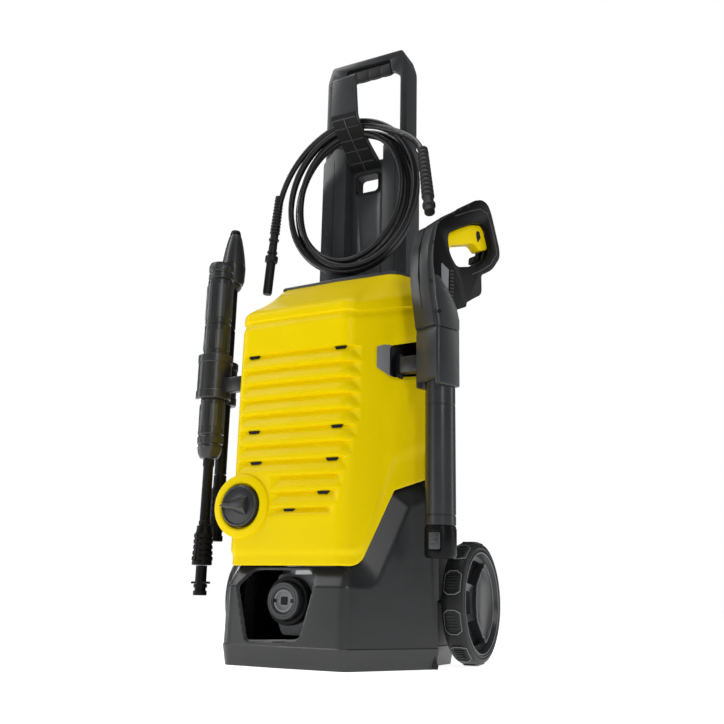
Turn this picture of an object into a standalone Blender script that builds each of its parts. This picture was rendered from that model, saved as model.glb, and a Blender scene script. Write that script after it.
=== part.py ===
"""Upright electric pressure washer with hose, trigger gun and two lances.

Metres, +Z up, -Y is the front, +X is the gun side. The origin lies on the ground
under the middle of the base.
"""
import math

import bmesh
import bpy
from mathutils import Matrix, Vector

OBJECT_NAME = "pressure_washer"
GAP = 0.0003
SEGMENTS = 32

# body
FRONT_Y = -0.120
WALL = 0.003
COVER_BOTTOM_Z = 0.1085
HOOD_START_Z = 0.412
HOOD_TOP_Z = 0.477
COVER_SPLIT_Y = -0.020
COVER_BACK_Y = 0.046
BASE_BACK_Y = 0.115
DECK_Z = 0.205
GROOVE_Z = 0.398
SLAT_COUNT = 11
SLAT_PITCH = 0.0185
SLAT_TOP_Z = 0.3575
SLAT_RIGHT_X = 0.072
# (y, z) corners of the side window, which runs on to the rear edge of the front cover
WINDOW_OUTLINE = [(-0.084, 0.3235), (-0.084, 0.3605), (0.010, 0.3930), (0.010, 0.2895), (-0.065, 0.3275)]
BEZEL_OUTLINE = [(-0.069, 0.3290), (-0.069, 0.3648), (-0.0235, 0.3806), (-0.0235, 0.3075), (-0.0645, 0.3284)]

# running gear
WHEEL_Y = 0.069
WHEEL_RADIUS = 0.073
WHEEL_OUTER_X = 0.1654
TYRE_WIDTH = 0.028
TYRE_THICKNESS = 0.012
AXLE_RADIUS = 0.005
AXLE_SETBACK = 0.0080

# column, handle and hook
COLUMN_HALF_WIDTH = 0.0680
COLUMN_FRONT_Y = 0.050
COLUMN_DEPTH = 0.044
COLUMN_TOP_Z = 0.720
CHANNEL_HALF_WIDTH = 0.030
CHANNEL_DEPTH = 0.014
POST_INNER_X = 0.0550
POST_OUTER_X = 0.0660
POST_FRONT_Y = 0.0522
POST_BACK_Y = 0.0880
POST_BOTTOM_Z = 0.340
HANDLE_OPENING_Z = 0.830
HANDLE_TOP_Z = 0.860
HOOK_WIDTH = 0.041

# front controls and water connections
KNOB_CENTRE = (-0.061, 0.1754)
KNOB_RADIUS = 0.0242
BOSS_RADIUS = 0.037
OUTLET_CENTRE = (-0.0096, 0.0706)
INLET_CENTRE = (0.045, 0.100)
GLAND_CENTRE = (-0.055, 0.120)

# pump and motor
MOTOR_CENTRE = (0.0, -0.034)
MOTOR_RADIUS = 0.052
PISTON_PITCH_RADIUS = 0.026
PISTON_COUNT = 3

# holders and accessories
GUN_CLIP_Z = (0.312, 0.377)
GUN_CLIP_DEPTH = (-0.0218, 0.0120)
GUN_CLIP_HALF_WIDTH = 0.0200
LANCE_CLIP_Z = (0.3235, 0.3835)
LANCE_SEATS = (0.0178, 0.0085)
ARM_START_X = 0.1125
ARM_HALF_WIDTH = 0.006
ARM_Z = (0.332, 0.352)
GUN_AXIS = (0.162, -0.059)
GUN_TURN = math.radians(25)
GUN_TUBE_RADIUS = 0.0172
FRONT_LANCE = (-0.163, -0.055)
REAR_LANCE = (-0.170, -0.019)

# hose
HOSE_RADIUS = 0.0042
COIL_CENTRE = (-0.003, 0.021, 0.617)
COIL_RADII = (0.1015, 0.1145)
COIL_BUNDLE = (0.0115, 0.0150)
GUN_SLEEVE_TOP = (0.1225, -0.0200, 0.6440)
GUN_SLEEVE_BOTTOM = (0.1500, -0.0620, 0.5300)
FREE_SLEEVE_TOP = (-0.1170, 0.0100, 0.6380)
FREE_SLEEVE_BOTTOM = (-0.1240, 0.0100, 0.5620)
PLUG_END = (-0.1300, 0.0100, 0.4880)

# how an outline's own X, Y and Z lie in the world, for each direction of extrusion
OUTLINE_FRAMES = {
    "x": Matrix(((0, 0, 1, 0), (1, 0, 0, 0), (0, 1, 0, 0), (0, 0, 0, 1))),
    "y": Matrix(((1, 0, 0, 0), (0, 0, -1, 0), (0, 1, 0, 0), (0, 0, 0, 1))),
    "z": Matrix.Identity(4),
}
OUTLINE_SIGNS = {"x": 1, "y": -1, "z": 1}

YELLOW = ((0.95, 0.78, 0.02), 0.25, 0.0)
DARK_PLASTIC = ((0.045, 0.048, 0.05), 0.45, 0.0)
GREY_PLASTIC = ((0.09, 0.094, 0.098), 0.45, 0.0)
BLACK_PLASTIC = ((0.012, 0.012, 0.013), 0.4, 0.0)
BLACK_RUBBER = ((0.018, 0.018, 0.019), 0.75, 0.0)
ALUMINIUM = ((0.62, 0.63, 0.64), 0.4, 1.0)
STEEL = ((0.55, 0.55, 0.56), 0.3, 1.0)
BRASS = ((0.7, 0.52, 0.2), 0.3, 1.0)
COPPER = ((0.6, 0.28, 0.14), 0.4, 1.0)


def clear_scene():
    for item in list(bpy.data.objects):
        bpy.data.objects.remove(item, do_unlink=True)


def make_collection(name):
    collection = bpy.data.collections.new(name)
    bpy.context.scene.collection.children.link(collection)
    return collection


clear_scene()
PARTS = make_collection(OBJECT_NAME)
CUTTERS = make_collection("cutters")


def material(name, finish):
    colour, roughness, metallic = finish
    result = bpy.data.materials.new(name)
    result.use_nodes = True
    shader = result.node_tree.nodes["Principled BSDF"]
    shader.inputs["Base Color"].default_value = (*colour, 1.0)
    shader.inputs["Roughness"].default_value = roughness
    shader.inputs["Metallic"].default_value = metallic
    result.diffuse_color = (*colour, 1.0)
    return result


def solid(name, bm, finish=None, smooth=False):
    """Make an object from a bmesh; without a finish it is a cutter."""
    bmesh.ops.recalc_face_normals(bm, faces=bm.faces)
    mesh = bpy.data.meshes.new(name)
    bm.to_mesh(mesh)
    bm.free()
    item = bpy.data.objects.new(name, mesh)
    if finish is None:
        CUTTERS.objects.link(item)
        item.hide_render = True
        item.display_type = "WIRE"
    else:
        PARTS.objects.link(item)
        mesh.materials.append(material(name + "_finish", finish))
    if smooth:
        mesh.polygons.foreach_set("use_smooth", [True] * len(mesh.polygons))
        mesh.set_sharp_from_angle(angle=math.radians(35))
    return item


def combine(item, cutter, operation):
    modifier = item.modifiers.new(operation.lower(), "BOOLEAN")
    modifier.operation = operation
    modifier.solver = "EXACT"
    modifier.object = cutter


def cut(item, *cutters):
    for cutter in cutters:
        combine(item, cutter, "DIFFERENCE")


def join(item, *additions):
    for addition in additions:
        combine(item, addition, "UNION")


def put_origin(item, point):
    """Move the object's origin onto its joint axis without moving its shape."""
    item.data.transform(Matrix.Translation(-Vector(point)))
    item.location = point


def loft(rings):
    """Close a stack of equal-length rings of points into one solid."""
    bm = bmesh.new()
    made = [[bm.verts.new(point) for point in ring] for ring in rings]
    count = len(made[0])
    for lower, upper in zip(made, made[1:]):
        for index in range(count):
            following = (index + 1) % count
            bm.faces.new((lower[index], lower[following], upper[following], upper[index]))
    bm.faces.new(list(reversed(made[0])))
    bm.faces.new(made[-1])
    return bm


def as_bmesh(carrier):
    """Evaluate a helper object with its modifiers, weld it and remove it."""
    bpy.context.view_layer.update()
    mesh = bpy.data.meshes.new_from_object(carrier.evaluated_get(bpy.context.evaluated_depsgraph_get()))
    bm = bmesh.new()
    bm.from_mesh(mesh)
    bmesh.ops.transform(bm, matrix=carrier.matrix_world, verts=bm.verts)
    bmesh.ops.remove_doubles(bm, verts=bm.verts, dist=0.00001)
    bpy.data.objects.remove(carrier, do_unlink=True)
    bpy.data.meshes.remove(mesh)
    return bm


def prism(outline, low, high, axis):
    """Extrude a flat outline along one axis; the outline holds the other two coordinates in X, Y, Z order."""
    curve = bpy.data.curves.new("outline", "CURVE")
    curve.dimensions = "2D"
    curve.fill_mode = "BOTH"
    curve.extrude = abs(high - low) / 2
    spline = curve.splines.new("POLY")
    spline.points.add(len(outline) - 1)
    spline.use_cyclic_u = True
    for target, (first, second) in zip(spline.points, outline):
        target.co = (first, second, 0.0, 1.0)
    carrier = bpy.data.objects.new("outline", curve)
    CUTTERS.objects.link(carrier)
    middle = OUTLINE_SIGNS[axis] * (low + high) / 2
    carrier.matrix_world = OUTLINE_FRAMES[axis] @ Matrix.Translation((0, 0, middle))
    return as_bmesh(carrier)


def block(x_range, y_range, z_range):
    ranges = (x_range, y_range, z_range)
    middle = [(low + high) / 2 for low, high in ranges]
    size = [abs(high - low) for low, high in ranges]
    bm = bmesh.new()
    bmesh.ops.create_cube(bm, size=1.0, matrix=Matrix.Translation(middle) @ Matrix.Diagonal((*size, 1.0)))
    return bm


def circle(centre, radius, count=SEGMENTS):
    steps = [2 * math.pi * index / count for index in range(count)]
    return [(centre[0] + radius * math.cos(step), centre[1] + radius * math.sin(step)) for step in steps]


def axis_frame(axis, centre):
    """Frame whose own Z runs along the named axis through the centre."""
    turn = {"x": (math.pi / 2, "Y"), "y": (-math.pi / 2, "X"), "z": (0.0, "Z")}[axis]
    first, second = centre[:2]
    place = {"x": (0.0, first, second), "y": (first, 0.0, second), "z": (first, second, 0.0)}[axis]
    return Matrix.Translation(place) @ Matrix.Rotation(turn[0], 4, turn[1])


def rod(axis, centre, radius, low, high, count=SEGMENTS):
    bm = bmesh.new()
    frame = axis_frame(axis, centre) @ Matrix.Translation((0, 0, (low + high) / 2))
    bmesh.ops.create_cone(bm, cap_ends=True, segments=count, radius1=radius, radius2=radius,
                          depth=abs(high - low), matrix=frame)
    return bm


def turned(axis, centre, profile, count=SEGMENTS):
    """Turn a profile of (radius, position) about an axis; it is closed on the axis at both ends."""
    ordered = sorted(profile, key=lambda point: -point[1]) if profile[0][1] < profile[-1][1] else profile
    points = [(0.0, ordered[0][1])] + list(ordered) + [(0.0, ordered[-1][1])]
    mesh = bpy.data.meshes.new("profile")
    mesh.from_pydata([(radius, 0.0, along) for radius, along in points],
                     [(i, i + 1) for i in range(len(points) - 1)], [])
    carrier = bpy.data.objects.new("profile", mesh)
    CUTTERS.objects.link(carrier)
    screw = carrier.modifiers.new("screw", "SCREW")
    screw.steps = count
    screw.render_steps = count
    screw.use_merge_vertices = True
    screw.merge_threshold = 0.00001
    carrier.matrix_world = axis_frame(axis, centre)
    return as_bmesh(carrier)


def mirrored(half):
    """Complete a plan outline given for x >= 0, front to back."""
    left = [(-x, y) for x, y in reversed(half) if x > 0]
    return half + left


def at_height(outline, z):
    return [(x, y, z) for x, y in outline]


# ---------------------------------------------------------------- body shells
def cover_plan(inset, hood):
    """Plan of the covers; hood runs from 0 at the shoulder to 1 at the top edge."""
    front = FRONT_Y + inset + 0.098 * hood
    side = inset + 0.030 * hood
    back = COVER_BACK_Y - inset
    half = [
        (0.0, front - 0.002),
        (0.050 - 0.3 * inset, front - 0.0015),
        (0.068 - 0.5 * inset, front + 0.001),
        (0.080 - inset + 0.012 * hood, front + 0.010 - 0.003 * hood),
        (0.132 - side, max(COVER_SPLIT_Y - inset, front + 0.013) + 0.020 * hood),
        (0.128 - side, COVER_BACK_Y - 0.030),
        (0.116 - side, back),
        (0.0, back),
    ]
    return mirrored(half)


def cover_envelope(inset):
    levels = [(0.080, 0.0), (HOOD_START_Z, 0.0), (HOOD_TOP_Z - inset, 1.0)]
    return loft([at_height(cover_plan(inset, hood), z) for z, hood in levels])


def lower_edge(clearance):
    """Side outline of everything below the covers, raised by a clearance."""
    return [
        (-0.20, COVER_BOTTOM_Z + clearance),
        (-0.100, COVER_BOTTOM_Z + clearance),
        (-0.066, 0.191 + clearance),
        (-0.057, 0.197 + clearance),
        (-0.018, 0.2125 + clearance),
        (0.060, 0.2125 + clearance),
        (0.060, 0.0),
        (-0.20, 0.0),
    ]


def front_cover():
    cover = solid("front_cover", cover_envelope(0.0), YELLOW)
    join(cover, solid("boss_add", rod("y", KNOB_CENTRE, BOSS_RADIUS, FRONT_Y - 0.006, FRONT_Y + 0.002)))
    cut(
        cover,
        solid("cover_inside", cover_envelope(WALL)),
        solid("cover_below", prism(lower_edge(0.0), -0.3, 0.3, "x")),
        solid("cover_behind", block((-0.3, 0.3), (COVER_SPLIT_Y - GAP, 0.2), (0.05, 0.6))),
        solid("hood_open", block((-0.3, 0.3), (-0.2, 0.2), (HOOD_TOP_Z - WALL - 0.0005, 0.6))),
        solid("knob_hole", rod("y", KNOB_CENTRE, KNOB_RADIUS + 0.0012, -0.2, -0.10)),
    )
    for side in (-1, 1):
        cut(cover, solid("side_window", prism(WINDOW_OUTLINE, side * 0.088, side * 0.2, "x")))
    cut(cover, solid("groove_cut", prism(groove_outline(GROOVE_Z, 0.007, 0.002), -0.15, 0.15, "x")))
    for index in range(SLAT_COUNT):
        right = SLAT_RIGHT_X - 0.0055 * max(0, index - 7)
        left = -0.062 if index < 8 else -0.022
        outline = groove_outline(SLAT_TOP_Z - index * SLAT_PITCH, 0.0035, 0.0019)
        cut(cover, solid("slat_cut", prism(outline, left, right, "x")))
    return cover


def groove_outline(z, half_height, depth):
    """V-shaped groove in the front skin, as (y, z)."""
    return [(FRONT_Y - 0.01, z - half_height), (FRONT_Y + depth, z), (FRONT_Y - 0.01, z + half_height)]


def rear_cover():
    cover = solid("rear_cover", cover_envelope(0.0), DARK_PLASTIC)
    cut(
        cover,
        solid("rear_inside", cover_envelope(WALL)),
        solid("rear_below", prism(lower_edge(0.0), -0.3, 0.3, "x")),
        solid("rear_ahead", block((-0.3, 0.3), (-0.3, COVER_SPLIT_Y + GAP), (0.05, 0.6))),
        solid("rear_hood_open", block((-0.3, 0.3), (-0.2, 0.2), (HOOD_TOP_Z - WALL - 0.0005, 0.6))),
    )
    return cover


def top_cap():
    plan = [(x * 0.99, y + 0.0006) for x, y in cover_plan(0.0, 1.0)]
    plan = [(x, min(y, COVER_BACK_Y - 0.0003)) for x, y in plan]
    low = HOOD_TOP_Z + GAP
    cap = solid("top_cap", loft([at_height(plan, low), at_height(plan, low + 0.0045)]), GREY_PLASTIC)
    return cap


def base_plan(inset, front_setback):
    front = FRONT_Y + inset + front_setback
    narrowing = inset + 0.6 * front_setback
    half = [
        (0.0, front - 0.003),
        (0.062 - narrowing, front - 0.0015),
        (0.0755 - narrowing, front + 0.0015),
        (0.0830 - narrowing, front + 0.0110),
        (0.141 - inset, -0.008 - inset),
        (0.118 - inset, -0.0065 - inset),
        (0.118 - inset, 0.095),
        (0.104 - inset, BASE_BACK_Y - inset),
        (0.0, BASE_BACK_Y - inset),
    ]
    return mirrored(half)


BASE_LEVELS = [
    (0.0, 0.004, 0.0),
    (0.022, 0.0, 0.0),
    (0.0235, 0.001, 0.0),
    (0.086, 0.002, 0.0),
    (0.1075, 0.002, 0.014),
    (0.220, 0.002, 0.014),
]


def base_envelope(extra, bottom, top):
    rings = []
    for z, inset, setback in BASE_LEVELS:
        height = min(max(z, bottom), top)
        rings.append(at_height(base_plan(inset + extra, setback), height + 0.00001 * len(rings)))
    return loft(rings)


def above_base():
    """Side outline of everything above the base."""
    low = COVER_BOTTOM_Z - 2 * GAP
    return [
        (-0.20, low),
        (-0.0995, low),
        (-0.0655, 0.1904),
        (-0.0568, 0.1962),
        (-0.0180, 0.2118),
        (0.0480, 0.2118),
        (0.0480, DECK_Z),
        (0.20, DECK_Z),
        (0.20, 0.4),
        (-0.20, 0.4),
    ]


def base_housing():
    base = solid("base_housing", base_envelope(0.0, 0.0, 0.22), DARK_PLASTIC)
    inside = loft([at_height(base_plan(0.0065, 0.014), -0.01),
                   at_height(base_plan(0.0065, 0.014), DECK_Z - 0.004)])
    window = [(-0.047, 0.104), (0.029, 0.104), (0.037, 0.087), (0.022, 0.031), (-0.046, 0.028),
              (-0.062, 0.086)]
    cut(
        base,
        solid("base_inside", inside),
        solid("base_above", prism(above_base(), -0.3, 0.3, "x")),
        solid("base_open_top", loft([at_height(base_plan(0.0065, 0.014), 0.18),
                                     at_height(base_plan(0.0065, 0.014), 0.3)])),
    )
    deck = block((-0.108, 0.108), (0.0475, 0.1085), (DECK_Z - 0.004, DECK_Z))
    join(base, solid("deck_add", deck))
    cut(
        base,
        solid("outlet_window", prism(window, -0.2, -0.09, "y")),
        solid("axle_bore", rod("x", (WHEEL_Y, WHEEL_RADIUS), AXLE_RADIUS + 0.0004, -0.2, 0.2, 20)),
        solid("inlet_bore", rod("y", INLET_CENTRE, 0.0125, 0.10, 0.2, 20)),
        solid("gland_bore", rod("y", GLAND_CENTRE, 0.0095, 0.10, 0.2, 20)),
    )
    return base


def base_plate():
    plan = base_plan(0.0072, 0.014)
    return solid("base_plate", loft([at_height(plan, 0.0), at_height(plan, 0.0040)]), BLACK_PLASTIC)


# -------------------------------------------------------------- running gear
def wheel(side, name):
    outer = side * WHEEL_OUTER_X
    inner = side * (WHEEL_OUTER_X - TYRE_WIDTH)
    low, high = min(outer, inner), max(outer, inner)
    hub = (WHEEL_Y, WHEEL_RADIUS)
    bead = WHEEL_RADIUS - TYRE_THICKNESS
    crown = [(WHEEL_RADIUS - 0.004, low), (WHEEL_RADIUS, low + 0.005), (WHEEL_RADIUS, high - 0.005),
             (WHEEL_RADIUS - 0.004, high)]
    tyre = solid("tyre_" + name, turned("x", hub, crown, 48), BLACK_RUBBER, True)
    cut(tyre, solid("tyre_bore", rod("x", hub, bead, low - 0.01, high + 0.01, 48)))
    rim = solid("rim_" + name, rod("x", hub, bead - GAP, low + 0.002, high - 0.0015, 48), DARK_PLASTIC, True)
    opening = sorted((side * 0.1, side * 0.2))
    axle_end = sorted((side * 0.1, side * (WHEEL_OUTER_X - AXLE_SETBACK + 0.0005)))
    cut(rim, solid("axle_hole", rod("x", hub, AXLE_RADIUS + GAP, axle_end[0], axle_end[1], 20)))
    for index in range(3):
        start = math.radians(120 * index + 18)
        cut(rim, solid("spoke_gap", sector_prism(hub, 0.024, bead - 0.010, start, math.radians(84), opening)))
    for item in (tyre, rim):
        put_origin(item, (outer, *hub))


def sector_prism(centre, inner, outer, start, span, along):
    steps = 8
    angles = [start + span * index / steps for index in range(steps + 1)]
    rim_points = [(centre[0] + outer * math.cos(angle), centre[1] + outer * math.sin(angle))
                  for angle in angles]
    hub_points = [(centre[0] + inner * math.cos(angle), centre[1] + inner * math.sin(angle))
                  for angle in reversed(angles)]
    return prism(rim_points + hub_points, along[0], along[1], "x")


def axle():
    half = WHEEL_OUTER_X - AXLE_SETBACK
    return solid("wheel_axle", rod("x", (WHEEL_Y, WHEEL_RADIUS), AXLE_RADIUS, -half, half, 20), STEEL, True)


# ------------------------------------------------------ column, handle, hook
def column():
    back = COLUMN_FRONT_Y + COLUMN_DEPTH
    floor = COLUMN_FRONT_Y + CHANNEL_DEPTH
    half = [
        (0.0, floor),
        (CHANNEL_HALF_WIDTH - 0.006, floor),
        (CHANNEL_HALF_WIDTH, COLUMN_FRONT_Y),
        (COLUMN_HALF_WIDTH - 0.002, COLUMN_FRONT_Y),
        (COLUMN_HALF_WIDTH, COLUMN_FRONT_Y + 0.002),
        (COLUMN_HALF_WIDTH, back),
        (0.048, back),
        (0.048, floor + 0.006),
        (0.0, floor + 0.006),
    ]
    panel = solid("column_panel", prism(mirrored(half), DECK_Z + GAP, COLUMN_TOP_Z, "z"), GREY_PLASTIC)
    for side in (-1, 1):
        x_range = sorted((side * (POST_INNER_X - 0.0008), side * (POST_OUTER_X + 0.0008)))
        cavity = block(x_range, (POST_FRONT_Y - 0.0008, POST_BACK_Y + 0.0008), (0.1, 0.8))
        cut(panel, solid("post_slot", cavity))
        corner = prism([(0.0, 0.80), (0.0, 0.695), (side * 0.034, 0.695), (side * 0.042, 0.72),
                        (side * 0.042, 0.80)],
                       0.0, 0.2, "y")
        cut(panel, solid("top_arch", corner))
    socket = [(-0.017, 0.650), (-0.012, 0.645), (0.012, 0.645), (0.017, 0.650), (0.017, 0.668),
              (0.012, 0.673),
              (-0.012, 0.673), (-0.017, 0.668)]
    cut(panel, solid("socket_hole", prism(socket, 0.0, 0.2, "y")))
    return panel


def handle_outline():
    return [
        (-POST_OUTER_X, POST_BOTTOM_Z),
        (-POST_OUTER_X, 0.836),
        (-0.0580, HANDLE_TOP_Z),
        (0.0580, HANDLE_TOP_Z),
        (POST_OUTER_X, 0.836),
        (POST_OUTER_X, POST_BOTTOM_Z),
        (POST_INNER_X, POST_BOTTOM_Z),
        (POST_INNER_X, 0.818),
        (0.044, HANDLE_OPENING_Z),
        (-0.044, HANDLE_OPENING_Z),
        (-POST_INNER_X, 0.818),
        (-POST_INNER_X, POST_BOTTOM_Z),
    ]


def handle():
    frame = solid("handle_frame", prism(handle_outline(), POST_FRONT_Y, POST_BACK_Y, "y"), DARK_PLASTIC)
    seat = block((-0.0370, 0.0410), (0.0, 0.0720), (0.80, 0.8480))
    cut(frame, solid("grip_seat", seat))
    grip = solid("handle_grip", grip_solid(), BLACK_RUBBER)
    put_origin(frame, (0.0, POST_FRONT_Y, HANDLE_TOP_Z))
    put_origin(grip, (0.0, POST_FRONT_Y, HANDLE_TOP_Z))


def grip_solid():
    """Soft insert with four finger grooves, as an (x, z) outline."""
    outline = [(-0.0367, 0.8477), (0.0407, 0.8477)]
    groove_count = 4
    pitch = 0.0774 / groove_count
    for index in range(groove_count):
        right = 0.0407 - index * pitch
        outline += [(right - 0.0008, 0.8265), (right - 0.25 * pitch, 0.8295), (right - 0.75 * pitch, 0.8295)]
    outline += [(-0.0367, 0.8265)]
    return prism(outline, POST_FRONT_Y + 0.0006, 0.0717, "y")


def hose_hook():
    outline = [
        (0.0637, 0.6780),
        (0.0300, 0.6985),
        (-0.0020, 0.7180),
        (-0.0130, 0.7260),
        (-0.0165, 0.7890),
        (-0.0115, 0.7930),
        (-0.0075, 0.7880),
        (-0.0055, 0.7300),
        (0.0010, 0.7230),
        (0.0300, 0.7060),
        (0.0637, 0.6940),
    ]
    half = HOOK_WIDTH / 2
    return solid("hose_hook", prism(outline, -half, half, "x"), GREY_PLASTIC)


# ------------------------------------------------- controls, water connections
def switch_knob():
    profile = [(KNOB_RADIUS, FRONT_Y - 0.003), (KNOB_RADIUS, FRONT_Y - 0.008),
               (KNOB_RADIUS - 0.003, FRONT_Y - 0.012)]
    profile = [(0.004, FRONT_Y + 0.018), (0.004, FRONT_Y + 0.002), (KNOB_RADIUS,
                                                                    FRONT_Y + 0.0015)] + profile[1:]
    knob = solid("switch_knob", turned("y", KNOB_CENTRE, profile), DARK_PLASTIC, True)
    x, z = KNOB_CENTRE
    fin = prism([(x - KNOB_RADIUS + 0.001, z), (x - 0.004, z + 0.009), (x + 0.012, z + 0.009),
                 (x + 0.012, z - 0.009),
                 (x - 0.004, z - 0.009)], FRONT_Y - 0.020, FRONT_Y - 0.008, "y")
    join(knob, solid("knob_fin", fin))
    put_origin(knob, (x, FRONT_Y, z))


def switch_box():
    x, z = KNOB_CENTRE
    box = solid("switch_box", block((x - 0.010, x + 0.020), (-0.108, -0.076), (z - 0.022, z + 0.022)),
                BLACK_PLASTIC)
    cut(box, solid("switch_bore", rod("y", KNOB_CENTRE, 0.0045, -0.2, -0.085, 16)))


def water_outlet():
    front = FRONT_Y + 0.0150
    plate = solid("outlet_plate", block((-0.056, 0.037), (-0.0840, -0.0815), (0.029, 0.1025)), GREY_PLASTIC)
    cut(plate, solid("plate_bore", rod("y", OUTLET_CENTRE, 0.0110, -0.2, 0.0, 24)))
    nut_profile = [(0.0195, front), (0.0212, front + 0.002), (0.0212, -0.0965), (0.0270, -0.0960),
                   (0.0270, -0.0845)]
    nut = solid("outlet_nut", turned("y", OUTLET_CENTRE, nut_profile), GREY_PLASTIC, True)
    cut(nut, solid("nut_bore", rod("y", OUTLET_CENTRE, 0.0135, -0.2, 0.0, 24)))
    profile = [(0.0130, front + 0.001), (0.0130, -0.0850), (0.0100, -0.0845), (0.0100, -0.0800)]
    socket = solid("outlet_socket", turned("y", OUTLET_CENTRE, profile, 24), ALUMINIUM, True)
    cut(socket, solid("socket_bore", rod("y", OUTLET_CENTRE, 0.0075, -0.2, -0.088, 16)))


def water_inlet():
    profile = [(0.0110, 0.0880), (0.0110, 0.1155), (0.0125, 0.1160), (0.0125, 0.1200), (0.0095, 0.1210),
               (0.0095, 0.1340)]
    inlet = solid("inlet_connector", turned("y", INLET_CENTRE, profile, 24), BLACK_PLASTIC, True)
    cut(inlet, solid("inlet_bore_cut", rod("y", INLET_CENTRE, 0.0065, 0.05, 0.2, 16)))
    strainer = solid("inlet_strainer", rod("y", INLET_CENTRE, 0.0058, 0.0980, 0.1260, 16), STEEL, True)
    cut(strainer, solid("strainer_bore", rod("y", INLET_CENTRE, 0.0040, 0.1020, 0.2, 16)))


def cord_gland():
    profile = [(0.0085, 0.1000), (0.0085, 0.1152), (0.0115, 0.1156), (0.0105, 0.1220), (0.0065, 0.1300)]
    gland = solid("mains_gland", turned("y", GLAND_CENTRE, profile, 20), BLACK_RUBBER, True)
    cut(gland, solid("gland_hole", rod("y", GLAND_CENTRE, 0.0035, 0.05, 0.2, 12)))


# ------------------------------------------------------------ pump and motor
def ring(name, finish, outer, inner, low, high, count=SEGMENTS):
    item = solid(name, rod("z", MOTOR_CENTRE, outer, low, high, count), finish, True)
    cut(item, solid(name + "_bore", rod("z", MOTOR_CENTRE, inner, low - 0.01, high + 0.01, count)))
    return item


def piston_centre(index):
    angle = 2 * math.pi * index / PISTON_COUNT + math.pi / 2
    x, y = MOTOR_CENTRE
    return (x + PISTON_PITCH_RADIUS * math.cos(angle), y + PISTON_PITCH_RADIUS * math.sin(angle))


def pump():
    head = solid("pump_head", rod("z", MOTOR_CENTRE, 0.043, 0.046, 0.098), ALUMINIUM, True)
    ring("pump_housing", ALUMINIUM, 0.047, 0.041, 0.0985, 0.1600)
    for index in range(PISTON_COUNT):
        centre = piston_centre(index)
        cut(head, solid("piston_bore", rod("z", centre, 0.0064, 0.070, 0.12, 16)))
        name = "piston_" + str(index + 1)
        solid(name, rod("z", centre, 0.0060, 0.0720, 0.1240, 16), STEEL, True)
    x, y = MOTOR_CENTRE
    tilt = 0.0035
    angles = [2 * math.pi * index / SEGMENTS for index in range(SEGMENTS)]
    low = [(x + 0.036 * math.cos(a), y + 0.036 * math.sin(a), 0.1290 + tilt * math.cos(a)) for a in angles]
    high = [(px, py, 0.1400) for px, py, _ in low]
    plate = solid("swash_plate", loft([low, high]), STEEL, True)
    cut(plate, solid("swash_bore", rod("z", MOTOR_CENTRE, 0.0063, 0.1, 0.2, 16)))
    put_origin(plate, (x, y, 0.14))
    arm = block((x - 0.008, x + 0.008), (-0.0795, y - 0.0435), (0.064, 0.077))
    solid("outlet_pipe", arm, BRASS)


def motor():
    x, y = MOTOR_CENTRE
    ring("motor_housing", ALUMINIUM, MOTOR_RADIUS, MOTOR_RADIUS - 0.003, 0.1605, 0.3100)
    ring("stator", COPPER, MOTOR_RADIUS - 0.0035, 0.0345, 0.1900, 0.2860)
    profile = [(0.006, 0.1300), (0.006, 0.1895), (0.0335, 0.1900), (0.0335, 0.2850), (0.006, 0.2855),
               (0.006, 0.3430)]
    rotor = solid("motor_rotor", turned("z", MOTOR_CENTRE, profile), STEEL, True)
    put_origin(rotor, (x, y, 0.2))
    ring("motor_end_cap", BLACK_PLASTIC, MOTOR_RADIUS, 0.0075, 0.3104, 0.3160)
    fan = solid("cooling_fan", rod("z", MOTOR_CENTRE, 0.0140, 0.3200, 0.3380, 24), BLACK_PLASTIC, True)
    blade_count = 7
    for index in range(blade_count):
        turn = Matrix.Translation((x, y, 0)) @ Matrix.Rotation(2 * math.pi * index / blade_count, 4, "Z")
        blade = block((0.010, 0.046), (-0.0015, 0.0015), (0.3220, 0.3360))
        bmesh.ops.transform(blade, matrix=turn, verts=blade.verts)
        join(fan, solid("fan_blade", blade))
    cut(fan, solid("fan_bore", rod("z", MOTOR_CENTRE, 0.0063, 0.3, 0.4, 16)))
    put_origin(fan, (x, y, 0.33))
    solid("capacitor", rod("z", (0.082, 0.012), 0.0165, 0.2300, 0.2950, 24), ALUMINIUM, True)


# --------------------------------------------------------- holders and lances
def gun_holder():
    """Bracket from the right side window to a square channel open at its rear."""
    low, high = GUN_CLIP_Z
    front, rear = GUN_CLIP_DEPTH
    half = GUN_CLIP_HALF_WIDTH
    corner = 0.004
    mouth = 0.80 * GUN_TUBE_RADIUS
    outer = [(front, -half + corner), (front + corner, -half), (rear, -half), (rear, half),
             (front + corner, half),
             (front, half - corner)]
    holder = solid("gun_holder", gun_column(outer, low, high), DARK_PLASTIC)
    x, y = GUN_AXIS
    join(holder, solid("gun_arm", block((ARM_START_X, x - GUN_TUBE_RADIUS),
                                        (y - ARM_HALF_WIDTH, y + ARM_HALF_WIDTH), ARM_Z)))
    opening = [(0.0, -mouth), (rear + 0.01, -mouth), (rear + 0.01, mouth), (0.0, mouth)]
    cut(
        holder,
        solid("gun_seat", rod("z", GUN_AXIS, GUN_TUBE_RADIUS + 2 * GAP, low - 0.01, high + 0.01, 28)),
        solid("gun_mouth", gun_column(opening, low - 0.01, high + 0.01)),
    )


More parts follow.
